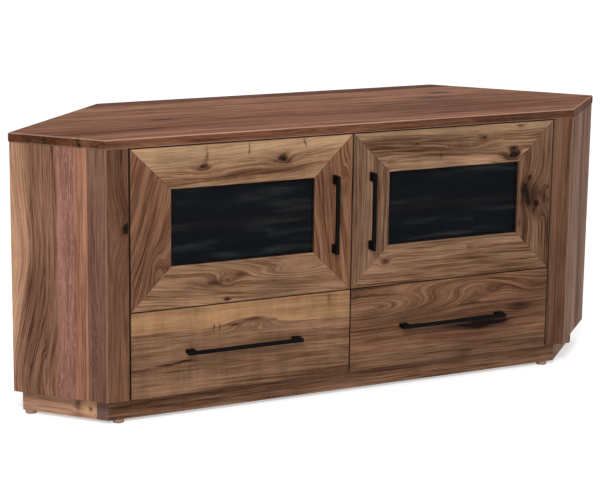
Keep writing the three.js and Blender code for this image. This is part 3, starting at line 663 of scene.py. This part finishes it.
doorParts = {  # what the same part of both doors shares
    # painted shade on the edges that face into the gaps, and a fainter painted highlight on the eased edges;
    # the bottom rails keep the full highlight
    "top_rail": {"grain": lieX, "paintedEdgeHighlight": 0.12, "paintedGapShade": 0.6},
    "bottom_rail": {"grain": lieX},
    "hinge_stile": {"grain": standing, "paintedEdgeHighlight": 0.12, "paintedGapShade": 0.4},
    "meeting_stile": {"grain": standing, "paintedEdgeHighlight": 0.12, "paintedGapShade": 0.4},
}
leftDoor = {
    "top_rail": {
        "tone": (146, 113, 86),
        "seed": 41.2,
        "slope": -0.05,
        "sap": (0.585, 0.605, (164, 131, 101)),
        "knotsAndPaintedShade": [
            (-0.365, 0.567, 0.019, 0.009, 0.012, 0.7, 0.85),
            (-0.362, 0.564, 0.045, 0.015, 0, 0.3, 0.5),
            (-0.172, 0.572, 0.023, 0.014, 0.016, 0.7, 1.05),
            (-0.18, 0.569, 0.055, 0.022, 0.006, 0.3, 0.55),
            (-0.33, 0.544, 0.11, 0.01, 0.008, 0.2, 0.7),
            (-0.16, 0.543, 0.12, 0.009, 0, 0.2, 0.55),
            (-0.355, 0.592, 0.004, 0.02, 0, 0, 0.75),
            (-0.253, 0.6, 0.004, 0.016, 0, 0, 1),
            (-0.118, 0.607, 0.004, 0.012, 0, 0, 0.9),
        ],
        "contrast": 2.8,
        "wander": 0.06,
        "curl": 0.35,
        "blotch": 0.8,
    },
    "bottom_rail": {
        "tone": (138, 105, 81),
        "seed": 43.8,
        "slope": 0.10,
        "slopeFrom": -0.30,
        "knotsAndPaintedShade": [
            (-0.306, 0.308, 0.024, 0.017, 0.02, 0.5, 1.1),
            (-0.306, 0.308, 0.013, 0.01, 0, 0, -1.4),
            (-0.305, 0.308, 0.007, 0.005, 0, 0, 1.4),
            (-0.345, 0.302, 0.026, 0.012, 0.006, 0.3, 0.7),
            (-0.272, 0.318, 0.018, 0.01, 0, 0, 0.6),
            (-0.37, 0.308, 0.05, 0.022, 0, 0.3, 0.35),
            (-0.306, 0.264, 0.011, 0.007, 0.006, 0.7, 1),
            (-0.27, 0.266, 0.06, 0.006, 0, 0.3, 0.4),
            (-0.16, 0.314, 0.11, 0.016, 0.024, 0.3, 0.05),
        ],
        "wander": 0.045,
        "rings": 0.45,
        "stir": 0.35,
        "blotch": 1.1,
    },
    "hinge_stile": {
        "tone": (119, 84, 65),
        "seed": 47.5,
        "slope": -0.30,
        "slopeFrom": 0.35,
        "knotsAndPaintedShade": [
            (0.335, -0.47, 0.05, 0.018, 0.035, 0.3, 0.3),
            (0.3, -0.462, 0.012, 0.005, 0.01, 0.5, 0.7),
        ],
        "contrast": 2.5,
        "wander": 0.06,
        "rings": 0.5,
    },
    "meeting_stile": {
        "tone": (128, 91, 70),
        "seed": 53.6,
        "slope": 0.10,
        "slopeFrom": 0.43,
        "knotsAndPaintedShade": [
            (0.5, -0.014, 0.045, 0.01, -0.02, 0.3, 0.42),
            (0.455, -0.028, 0.06, 0.006, 0, 0.3, 0.25),
        ],
        "contrast": 2.2,
    },
}
rightDoor = {
    "top_rail": {
        "tone": (138, 107, 84),
        "seed": 59.3,
        "slope": 0.02,
        "sap": (0.590, 0.612, (146, 116, 90)),
        "knotsAndPaintedShade": [
            (0.162, 0.584, 0.009, 0.005, 0.008, 0.7, 1.1),
            (0.34, 0.588, 0.015, 0.008, 0.014, 0.7, 1.4),
            (0.428, 0.54, 0.02, 0.013, 0.018, 0.7, 1.25),
            (0.418, 0.556, 0.014, 0.008, 0, 0.7, 1),
            (0.402, 0.535, 0.05, 0.024, 0.006, 0.5, 0.75),
            (0.285, 0.568, 0.06, 0.006, 0.01, 0.2, 0.9),
            (0.225, 0.552, 0.004, 0.013, 0, 0, 0.9),
            (0.33, 0.575, 0.06, 0.008, 0, 0.2, 0.5),
            (0.097, 0.546, 0.012, 0.006, 0.006, 0.6, 0.8),
            (0.441, 0.609, 0.02, 0.006, 0.01, 0.6, 0.8),
        ],
        "contrast": 2.7,
        "rings": 0.45,
        "curl": 0.20,
        "blotch": 0.9,
    },
    "bottom_rail": {
        "tone": (136, 104, 81),
        "seed": 61.9,
        "slope": 0.02,
        "knotsAndPaintedShade": [
            (0.086, 0.312, 0.014, 0.011, 0.022, 0.7, 0.9),
            (0.31, 0.325, 0.014, 0.008, 0.012, 0.5, 0.5),
            (0.19, 0.285, 0.09, 0.005, 0, 0.2, 0.4),
        ],
        "wander": 0.03,
        "rings": 0.5,
    },
    "hinge_stile": {
        "tone": (120, 91, 72),
        "seed": 67.7,
        "knotsAndPaintedShade": [
            (0.442, 0.49, 0.044, 0.03, 0.034, 0.3, 0.78),
            (0.438, 0.466, 0.08, 0.034, 0, 0, 0.58),
            (0.428, 0.449, 0.048, 0.012, 0, 0, 0.42),
            (0.46, 0.456, 0.022, 0.009, 0.01, 0.3, 0.75),
            (0.441, 0.464, 0.014, 0.009, 0, 0.3, 0.6),
            (0.424, 0.473, 0.014, 0.009, 0, 0.3, 0.6),
            (0.417, 0.492, 0.008, 0.008, 0.012, 0.4, 1.2),
            (0.4, 0.486, 0.018, 0.009, 0, 0.3, 0.85),
            (0.432, 0.515, 0.024, 0.007, 0.01, 0.4, 0.85),
            (0.388, 0.504, 0.012, 0.011, 0.01, 0.4, 0.6),
            (0.368, 0.45, 0.018, 0.008, 0, 0, 0.7),
            (0.48, 0.47, 0.01, 0.01, 0, 0, 0.6),
        ],
        "contrast": 2.6,
        "wander": 0.045,
        "rings": 0.5,
    },
    "meeting_stile": {
        "tone": (115, 88, 70),
        "seed": 71.2,
        "knotsAndPaintedShade": [
            (0.452, 0.066, 0.009, 0.006, 0.01, 0.8, 1),
            (0.52, 0.06, 0.09, 0.004, 0, 0.3, 0.35),
        ],
        "contrast": 2.8,
        "wander": 0.02,
        "rings": 0.4,
    },
}
for side, boards in (("Left", leftDoor), ("Right", rightDoor)):
    for part, board in boards.items():
        material = woodMaterial(f"walnutDoor{side}_{part}", {**doorParts[part], **board})
        dress(f"door_{side.lower()}_{part}", material)


# Drawer fronts

# painted shade on the narrow edges and ends, which face into the gaps, and a faint painted highlight on the
# eased edges
drawerEdges = {"paintedEdgeHighlight": 0.12, "paintedGapShade": 0.6, "endGrainAndPaintedShade": 0.35}
leftDrawer = {
    "grain": lieX,
    "tone": (125, 94, 72),
    "seed": 75.9,
    "sap": (0.2022, 0.2046, (152, 116, 84)),
    "sapLine": 2.2,
    "slope": 0.028,
    "slopeFrom": -0.53,
    "knotsAndPaintedShade": [
        (-0.245, 0.206, 0.055, 0.014, -0.0258, 0, 0.5),
        (-0.243, 0.213, 0.034, 0.0036, 0, 0, 0.7),
        (-0.292, 0.204, 0.018, 0.0045, 0, 0, 0.9),
        (-0.194, 0.206, 0.018, 0.004, 0, 0, 0.55),
        (-0.337, 0.202, 0.0025, 0.011, 0, 0, 1),
        (-0.323, 0.201, 0.0025, 0.01, 0, 0, 1),
        (-0.055, 0.238, 0.0035, 0.014, 0, 0, 0.7),
        (-0.5, 0.1235, 0.04, 0.0036, 0.004, 0.2, 1),
        (-0.45, 0.128, 0.036, 0.0042, 0, 0.2, 1.3),
        (-0.408, 0.1325, 0.03, 0.0042, 0, 0.2, 1.4),
        (-0.53, 0.122, 0.02, 0.004, 0.004, 0.2, 0.9),
        (-0.395, 0.108, 0.003, 0.03, 0, 0, 0.55),
        (-0.48, 0.199, 0.06, 0.003, 0, 0, 0.6),
    ],
    "contrast": 1.9,
    "wander": 0.016,
    "curl": 0.60,
    "stir": 0.4,
    "blotch": 0.8,
}
rightDrawer = {
    "grain": lieX,
    "seed": 79.8,
    "boards": [(0.058, (110, 82, 63), 0.0, 2.1), (0.096, (121, 88, 67), 0.0, 2.0)],
    "boardsEnd": 0.2535,
    "knotsAndPaintedShade": [
        (0.03, 0.2, 0.19, 0.03, 0.085, 0, 0),
        (0.34, 0.232, 0.11, 0.03, -0.03, 0, 0),
        (0.375, 0.218, 0.03, 0.014, 0.014, 0.4, 0.55),
        (0.35, 0.187, 0.12, 0.005, 0.006, 0.2, 0.7),
        (0.345, 0.139, 0.04, 0.011, 0.006, 0.4, 0.75),
        (0.35, 0.13, 0.02, 0.007, 0, 0.4, 0.5),
        (0.4, 0.136, 0.03, 0.01, 0.006, 0.4, 0.5),
        (0.33, 0.136, 0.13, 0.03, 0, 0.3, 0.95),
        (0.457, 0.168, 0.05, 0.018, 0.008, 0.3, 0.8),
        (0.5, 0.215, 0.06, 0.018, 0.008, 0.3, 0.35),
        (0.4, 0.16, 0.2, 0.055, 0, 0, 0.36),
    ],
    "wander": 0.02,
    "rings": 0.55,
    "stir": 0.35,
    "blotch": 1.3,
}
for side, board in (("Left", leftDrawer), ("Right", rightDrawer)):
    dress(f"drawer_{side.lower()}_front", woodMaterial(f"walnutDrawer{side}", {**drawerEdges, **board}))


# Plinth

plinthCommon = {
    "contrast": 2.2,
    "wander": 0.03,
    "paintedEdgeHighlight": 0.0,
    "glideTop": 0.0079,  # the glides stand 8 mm tall under the boards
    "glideTones": ((146, 118, 104), (174, 144, 128)),
    "endGrainAndPaintedShade": 0.95,
}
plinthBoards = {
    "front": {
        "grain": lieX,
        "tone": (128, 95, 74),
        "seed": 83.5,
        "contrast": 2.7,
        "curl": 0.45,
        "endTone": (118, 91, 82),
        "knotsAndPaintedShade": [
            # not knots but painted shadow: two dark bands along the top of the board, under the overhanging
            # carcass
            (0.17, 0.045, 0.15, 0.016, 0, 0, 0.55),
            (-0.3, 0.046, 0.12, 0.01, 0, 0, 0.4),
        ],
    },
    "left": {
        "grain": slantedLevel(-1),
        "tone": (168, 128, 105),
        "seed": 89.1,
        "stir": 0.6,
        "knotsAndPaintedShade": [
            (0.316, 0.034, 0.02, 0.02, 0.014, 0.4, -1.7),
            (0.315, 0.031, 0.007, 0.008, 0, 0, 2.6),
            (0.345, 0.036, 0.009, 0.018, 0.01, 0.3, 0.75),
            (0.335, 0.013, 0.04, 0.006, 0, 0, 0.55),
        ],
    },
    "right": {"grain": slantedLevel(1), "tone": (140, 108, 90), "seed": 91.6},
    "back": {"grain": lieX, "tone": (136, 103, 83), "seed": 93.2},
}
for part, board in plinthBoards.items():
    dress(f"plinth_{part}", woodMaterial(f"walnutPlinth_{part}", {**plinthCommon, **board}))


# Inside

insideWood = {"tone": (128, 95, 75), "contrast": 1.5, "wander": 0.03}
paintedShelfEdgeLight = {"paintedUprightShading": 2.0}  # painted light on the shelves' upright edges, so that they show faintly through the pane
insideBoards = [
    ("bottom_panel", flatX, 101.3, {}),
    ("mid_shelf_left", flatX, 103.7, {}),
    ("mid_shelf_right", flatX, 105.1, {}),
    ("shelf_left", flatX, 107.9, paintedShelfEdgeLight),
    ("shelf_right", flatX, 109.3, paintedShelfEdgeLight),
    ("centre_divider", standingDeep, 111.7, {}),
    ("partition_left", standingDeep, 113.5, {}),
    ("partition_right", standingDeep, 115.2, {}),
]
for nodeName, way, seed, more in insideBoards:
    board = {**insideWood, "grain": way, "seed": seed, **more}
    dress(nodeName, woodMaterial(f"walnutInside_{nodeName}", board))


# Drawer boxes, in a pale lacquered hardwood, and the thin back boards

plainWood = {"curl": 0.05, "paintedEdgeHighlight": 0.0, "endGrainAndPaintedShade": 0.8}
drawerWood = {"tone": (196, 162, 126), "contrast": 0.9, "wander": 0.02, "rings": 0.12, "blotch": 0.1}
backWood = {"tone": (158, 124, 96), "contrast": 1.1, "wander": 0.03, "rings": 0.3, "blotch": 0.2}
drawerGrain = {"back": lieX, "bottom": flatX, "side_left": lieY, "side_right": lieY}
backAcross = {"left": (-root, root, 0), "centre": (1, 0, 0), "right": (root, root, 0)}
plainSeeds = {"drawer": 121.3, "nextDrawer": 9.1, "nextPart": 2.3, "back": 151.9, "nextBack": 4.7}
for i, drawer in enumerate(("left", "right")):
    for j, (part, way) in enumerate(drawerGrain.items()):
        seed = plainSeeds["drawer"] + plainSeeds["nextDrawer"] * i + plainSeeds["nextPart"] * j
        board = {**plainWood, **drawerWood, "grain": way, "seed": seed}
        dress(f"drawer_{drawer}_{part}", woodMaterial(f"drawerWood_{drawer}_{part}", board))
for i, (side, across) in enumerate(backAcross.items()):
    seed = plainSeeds["back"] + plainSeeds["nextBack"] * i
    board = {**plainWood, **backWood, "grain": {"along": (0, 0, 1), "across": across}, "seed": seed}
    dress(f"back_panel_{side}", woodMaterial(f"backBoard_{side}", board))
print("wood set")


# Metal and glass

blackPaint = {
    "dark": (5, 5, 6),
    "light": (10, 10, 11),
    "speckle": 2600.0,
    "wear": 45.0,
    "roughness": (0.38, 0.52),
    "specular": 0.05,
    "bump": {"Strength": 0.22, "Distance": 0.0003},
}
platedSteel = {
    "dark": (150, 152, 154),
    "light": (206, 206, 202),
    "brush": (140.0, 9.0, 1400.0),
    "cloud": 60.0,
    "brushShare": 0.6,
    "cloudShare": 0.4,
    "roughness": (0.22, 0.40),
    "bump": {"Strength": 0.10, "Distance": 0.0002},
}
smokedGlass = {
    "dark": (10, 14, 19),
    # the lighter tone makes streaks of painted reflection
    "light": (46, 48, 46),
    "cloud": (7.0, 7.0, 60.0),
    "alpha": 0.67,  # lets a little through
    "roughness": (0.02, 0.07),
    "specular": 0.05,
}


def finishTree(name):
    material = bpy.data.materials.new(name)
    material.use_nodes = True
    tree = material.node_tree
    place = addNode(tree, "ShaderNodeTexCoord").outputs["Object"]
    return material, tree, place, tree.nodes["Principled BSDF"]


def coat(tree, shader, spec, level, figure):
    feed(tree, shader.inputs["Base Color"], shiftingColour(tree, level, spec["dark"], spec["light"]))
    feed(tree, shader.inputs["Roughness"], remap(tree, figure, 0.3, 0.7, *spec["roughness"]))


def paintMaterial(spec):
    material, tree, place, shader = finishTree("blackMetal")
    speckle = noise(tree, place, 1.0, scale=spec["speckle"])
    wear = noise(tree, place, 3.0, 0.6, scale=spec["wear"])
    coat(tree, shader, spec, wear, wear)
    shader.inputs["Specular IOR Level"].default_value = spec["specular"]
    bump = addNode(tree, "ShaderNodeBump", {"Height": speckle, **spec["bump"]})
    feed(tree, shader.inputs["Normal"], bump.outputs[0])
    return material


def steelMaterial(spec):
    material, tree, place, shader = finishTree("platedSteel")
    brushed = noise(tree, vectorCalc(tree, "MULTIPLY", place, spec["brush"]), 2.0, 0.6)
    cloud = noise(tree, place, scale=spec["cloud"])
    brushPart = times(tree, brushed, spec["brushShare"])
    cloudPart = times(tree, cloud, spec["cloudShare"])
    level = remap(tree, calc(tree, "ADD", brushPart, cloudPart), 0.35, 0.65)
    coat(tree, shader, spec, level, brushed)
    shader.inputs["Metallic"].default_value = 1.0
    bump = addNode(tree, "ShaderNodeBump", {"Height": brushed, **spec["bump"]})
    feed(tree, shader.inputs["Normal"], bump.outputs[0])
    return material


def glassMaterial(spec):
    material, tree, place, shader = finishTree("smokedGlass")
    cloud = noise(tree, vectorCalc(tree, "MULTIPLY", place, spec["cloud"]), 4.0, 0.6)
    # lighter streaks across the dark pane: painted reflection
    level = remap(tree, cloud, 0.50, 0.76, smooth=True)
    coat(tree, shader, spec, level, cloud)
    shader.inputs["Alpha"].default_value = spec["alpha"]
    shader.inputs["Specular IOR Level"].default_value = spec["specular"]
    return material


blackMetal, steel, glass = paintMaterial(blackPaint), steelMaterial(platedSteel), glassMaterial(smokedGlass)
finishOfPart = {"handle": blackMetal, "glass": glass}
finishOfPart.update(dict.fromkeys(("hinge_cup", "hinge_arm", "runner", "slide"), steel))
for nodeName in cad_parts:
    for part, finish in finishOfPart.items():
        if part in nodeName:
            dress(nodeName, finish)
print("finishes set")


# Screws of hinges, runners, handles and back boards. Geometry Nodes set a head on each of a body's points,
# which carry the head's direction and its share of the full size.

screwSizes = {
    "Head Radius": 0.0035,
    "Head Height": 0.0018,
    "Head Taper": 0.78,
    "Sunk": 0.0002,
    "Recess Depth": 0.0010,
    "Recess Width": 0.0009,
    "Recess Share": 1.1,
    "Sides": 20,
    "Spin Seed": 7,
}
headShares = {  # of the radius and of the height
    "hinge": (1.0, 1.0),
    "runner": (1.0, 0.75),
    "handle": (1.2, 1.1),
    "board": (0.95, 0.5),
}


def screwTree():
    tree = bpy.data.node_groups.new("screwHeads", "GeometryNodeTree")
    tree.interface.new_socket("Geometry", in_out="INPUT", socket_type="NodeSocketGeometry")
    for label, value in screwSizes.items():
        kind = "NodeSocketInt" if isinstance(value, int) else "NodeSocketFloat"
        tree.interface.new_socket(label, in_out="INPUT", socket_type=kind)
    tree.interface.new_socket("Geometry", in_out="OUTPUT", socket_type="NodeSocketGeometry")
    given, result = tree.nodes.new("NodeGroupInput").outputs, tree.nodes.new("NodeGroupOutput").inputs

    radius, height = given["Head Radius"], given["Head Height"]
    narrowed = times(tree, radius, given["Head Taper"])
    head = addNode(tree, "GeometryNodeMeshCone", {
        "Vertices": given["Sides"], "Radius Bottom": radius, "Radius Top": narrowed, "Depth": height})
    long = times(tree, radius, given["Recess Share"])
    deep = times(tree, given["Recess Depth"], 2.0)
    bars = []
    for sizes in ((long, given["Recess Width"], deep), (given["Recess Width"], long, deep)):
        bars.append(addNode(tree, "GeometryNodeMeshCube", {"Size": combine(tree, *sizes)}).outputs["Mesh"])
    cross = addNode(tree, "GeometryNodeMeshBoolean", operation="UNION", solver="MANIFOLD")
    for bar in bars:
        tree.links.new(bar, cross.inputs["Mesh 2"])
    lift = combine(tree, 0.0, 0.0, height)
    lifted = addNode(tree, "GeometryNodeTransform", {"Geometry": cross.outputs["Mesh"], "Translation": lift})
    screw = addNode(tree, "GeometryNodeMeshBoolean", {"Mesh 1": head.outputs["Mesh"]},
                    operation="DIFFERENCE", solver="MANIFOLD")
    tree.links.new(lifted.outputs["Geometry"], screw.inputs["Mesh 2"])
    sink = combine(tree, 0.0, 0.0, times(tree, given["Sunk"], -1.0))
    screw = addNode(tree, "GeometryNodeTransform", {"Geometry": screw.outputs["Mesh"], "Translation": sink})

    facing = addNode(tree, "GeometryNodeInputNamedAttribute", {"Name": "facing"}, data_type="FLOAT_VECTOR")
    shares = addNode(tree, "GeometryNodeInputNamedAttribute", {"Name": "shares"}, data_type="FLOAT_VECTOR")
    outward = {"Vector": facing.outputs["Attribute"]}
    upright = addNode(tree, "FunctionNodeAlignRotationToVector", outward, axis="Z").outputs[0]
    angle = addNode(tree, "FunctionNodeRandomValue", data_type="FLOAT")
    feed(tree, angle.inputs["Seed"], given["Spin Seed"])
    angle.inputs[3].default_value = math.pi  # the largest angle
    turn = {"Axis": (0.0, 0.0, 1.0), "Angle": angle.outputs[1]}
    spin = addNode(tree, "FunctionNodeAxisAngleToRotation", turn).outputs[0]
    turned = addNode(tree, "FunctionNodeRotateRotation", {"Rotation": upright, "Rotate By": spin},
                     rotation_space="LOCAL")
    heads = addNode(tree, "GeometryNodeInstanceOnPoints", {
        "Points": given["Geometry"], "Instance": screw.outputs["Geometry"], "Rotation": turned.outputs[0],
        "Scale": shares.outputs["Attribute"]})
    plain = addNode(tree, "GeometryNodeRealizeInstances", {"Geometry": heads.outputs["Instances"]})
    inputs = {"Geometry": plain.outputs["Geometry"], "Material": steel}
    tree.links.new(addNode(tree, "GeometryNodeSetMaterial", inputs).outputs[0], result["Geometry"])
    return tree


def makeScrews(body, rows):
    points = bpy.data.meshes.new(f"points_{body}")
    points.from_pydata([place for place, *_ in rows], [], [])
    facing = points.attributes.new("facing", "FLOAT_VECTOR", "POINT")
    shares = points.attributes.new("shares", "FLOAT_VECTOR", "POINT")
    for i, (_, direction, kind) in enumerate(rows):
        wide, tall = headShares[kind]
        facing.data[i].vector, shares.data[i].vector = direction, (wide, wide, tall)
    maker = addObject(f"points_{body}", points)
    modifier = maker.modifiers.new("screwHeads", "NODES")
    modifier.node_group = screwHeads
    for item in screwHeads.interface.items_tree:
        if item.in_out == "INPUT" and item.name in screwSizes:
            modifier[item.identifier] = screwSizes[item.name]
    evaluated = maker.evaluated_get(bpy.context.evaluated_depsgraph_get())
    mesh = bpy.data.meshes.new_from_object(evaluated)
    for name in ("facing", "shares"):
        mesh.attributes.remove(mesh.attributes[name])
    bpy.data.objects.remove(maker)
    piece = addObject(f"screws_{body}", mesh)
    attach(piece, body)
    print(f"screws_{body}: {len(rows)} screws, {len(mesh.polygons)} faces")


screwPlaces = {
    "hingeHeights": (0.3165, 0.5560),
    "plate": {"x": 0.5318, "y": -0.1529, "apart": 0.014},  # hinge plate on the partition
    "flange": {"x": 0.5083, "y": -0.1975, "apart": 0.024},  # hinge cup in the door
    "handle": {
        "inside": -0.1989,  # back face of doors and drawer fronts
        "doorX": 0.0465,
        "doorHeights": (0.356, 0.516),
        "drawerMiddle": 0.26615,
        "apart": 0.128,
        "drawerHeight": 0.1555,
    },
    "runner": {
        "webs": ((0.5227, 1), (0.0203, -1)),
        "front": -0.1954,
        "steps": (0.040, 0.150, 0.260),
        "height": 0.140,
    },
    "backBoard": {
        "y": 0.2431,
        "apart": 0.140,
        "rows": (0.068, 0.2445),
        "middle": (0.160, 0.340, 0.430, 0.520, 0.600),
    },
    "wallBoard": {
        "reach": 0.6927,
        "edges": (0.543, 0.7376),
        "heights": (0.100, 0.220, 0.340, 0.460, 0.580),
        "low": [(0.480, 0.068), (0.600, 0.068), (0.680, 0.068), (0.480, 0.2445)],
    },
}


def screwRows(spec):
    # The screws of each body, as (place, direction, kind)
    rows = {}
    rearward = (0, 1, 0)
    plate, flange, handle, runner = (spec[key] for key in ("plate", "flange", "handle", "runner"))
    wall, board = spec["wallBoard"], spec["backBoard"]

    def add(body, place, direction, kind):
        rows.setdefault(body, []).append((place, direction, kind))

    for side, hand in (("left", -1), ("right", 1)):
        door, drawer = f"door_{side}", f"drawer_{side}"
        for middle in spec["hingeHeights"]:
            for step in (-1, 1):
                height = middle + step * plate["apart"]
                add("carcass", (hand * plate["x"], plate["y"], height), (-hand, 0, 0), "hinge")
                height = middle + step * flange["apart"]
                add(door, (hand * flange["x"], flange["y"], height), rearward, "hinge")
        for height in handle["doorHeights"]:
            add(door, (hand * handle["doorX"], handle["inside"], height), rearward, "handle")
        for step in (-1, 1):
            x = hand * handle["drawerMiddle"] + step * handle["apart"]
            add(drawer, (x, handle["inside"], handle["drawerHeight"]), rearward, "handle")
        for web, way in runner["webs"]:
            for step in runner["steps"]:
                place = (hand * web, runner["front"] + step, runner["height"])
                add(drawer, place, (hand * way, 0, 0), "runner")
        places = [(x, height) for x in wall["edges"] for height in wall["heights"]] + wall["low"]
        for x, height in places:
            add("carcass", (hand * x, wall["reach"] - x, height), (hand * root, root, 0), "board")
    places = [(i * board["apart"], height) for i in range(-3, 4) for height in board["rows"]]
    for x, height in places + [(0.0, height) for height in board["middle"]]:
        add("carcass", (x, board["y"], height), rearward, "board")
    return rows


screwHeads = screwTree()
for body, rows in screwRows(screwPlaces).items():
    makeScrews(body, rows)
print("screws set")


# Floor, world and lamps

studio = {
    "floorSize": 40.0,
    "floorTone": 0.80,
    "floorGlow": (0.50, 0.62),  # near the cabinet, and far from it
    "glowReach": (1.2, 5.0),
    "worldLevel": 0.52,
    "lamps": [  # name, place, aimed at, size, power
        ("keyLamp", (-2.2, -3.4, 3.4), (0.0, 0.0, 0.3), 1.4, 135.0),
        ("topLamp", (0.4, -0.4, 3.6), (0.0, 0.0, 0.6), 2.4, 18.0),
        ("sideLamp", (3.6, -1.6, 1.8), (0.3, 0.0, 0.4), 1.8, 20.0),
    ],
}


def seenRays(tree):
    # What the camera sees, by itself or in metal and through glass
    rays = addNode(tree, "ShaderNodeLightPath").outputs
    inGlass = calc(tree, "MAXIMUM", rays["Is Glossy Ray"], rays["Is Transmission Ray"])
    return calc(tree, "MAXIMUM", rays["Is Camera Ray"], inGlass)


def makeFloor(spec):
    half = spec["floorSize"] / 2
    mesh = bpy.data.meshes.new("floor")
    corners = [(-half, -half, 0), (half, -half, 0), (half, half, 0), (-half, half, 0)]
    mesh.from_pydata(corners, [], [(0, 1, 2, 3)])
    floor = addObject("floor", mesh)
    material, tree = emptyMaterial("paleFloor")
    tone = spec["floorTone"]
    surface = addNode(tree, "ShaderNodeBsdfDiffuse", {"Color": (tone, tone, tone, 1.0)})
    away = vectorCalc(tree, "LENGTH", addNode(tree, "ShaderNodeTexCoord").outputs["Object"])
    level = remap(tree, away, *spec["glowReach"], *spec["floorGlow"], smooth=True)
    glow = addNode(tree, "ShaderNodeEmission", {"Strength": times(tree, seenRays(tree), level)})
    both = addNode(tree, "ShaderNodeAddShader", {0: surface.outputs[0], 1: glow.outputs[0]})
    addNode(tree, "ShaderNodeOutputMaterial", {0: both.outputs[0]})
    mesh.materials.append(material)


def makeWorld(spec):
    world = bpy.data.worlds.new("studio")
    scene.world = world
    world.use_nodes = True
    tree = world.node_tree
    level = remap(tree, seenRays(tree), 0.0, 1.0, spec["worldLevel"], 1.0)
    feed(tree, tree.nodes["Background"].inputs["Strength"], level)
    tree.nodes["Background"].inputs["Color"].default_value = white


def makeLamps(spec):
    for name, place, target, size, power in spec["lamps"]:
        data = bpy.data.lights.new(name, "AREA")
        data.shape = "DISK"
        data.size = size
        data.energy = power
        lamp = addObject(name, data)
        lamp.location = place
        lamp.rotation_euler = (Vector(target) - Vector(place)).to_track_quat("-Z", "Y").to_euler()


makeFloor(studio)
makeWorld(studio)
makeLamps(studio)
scene.view_settings.view_transform = "Standard"
print("studio set")
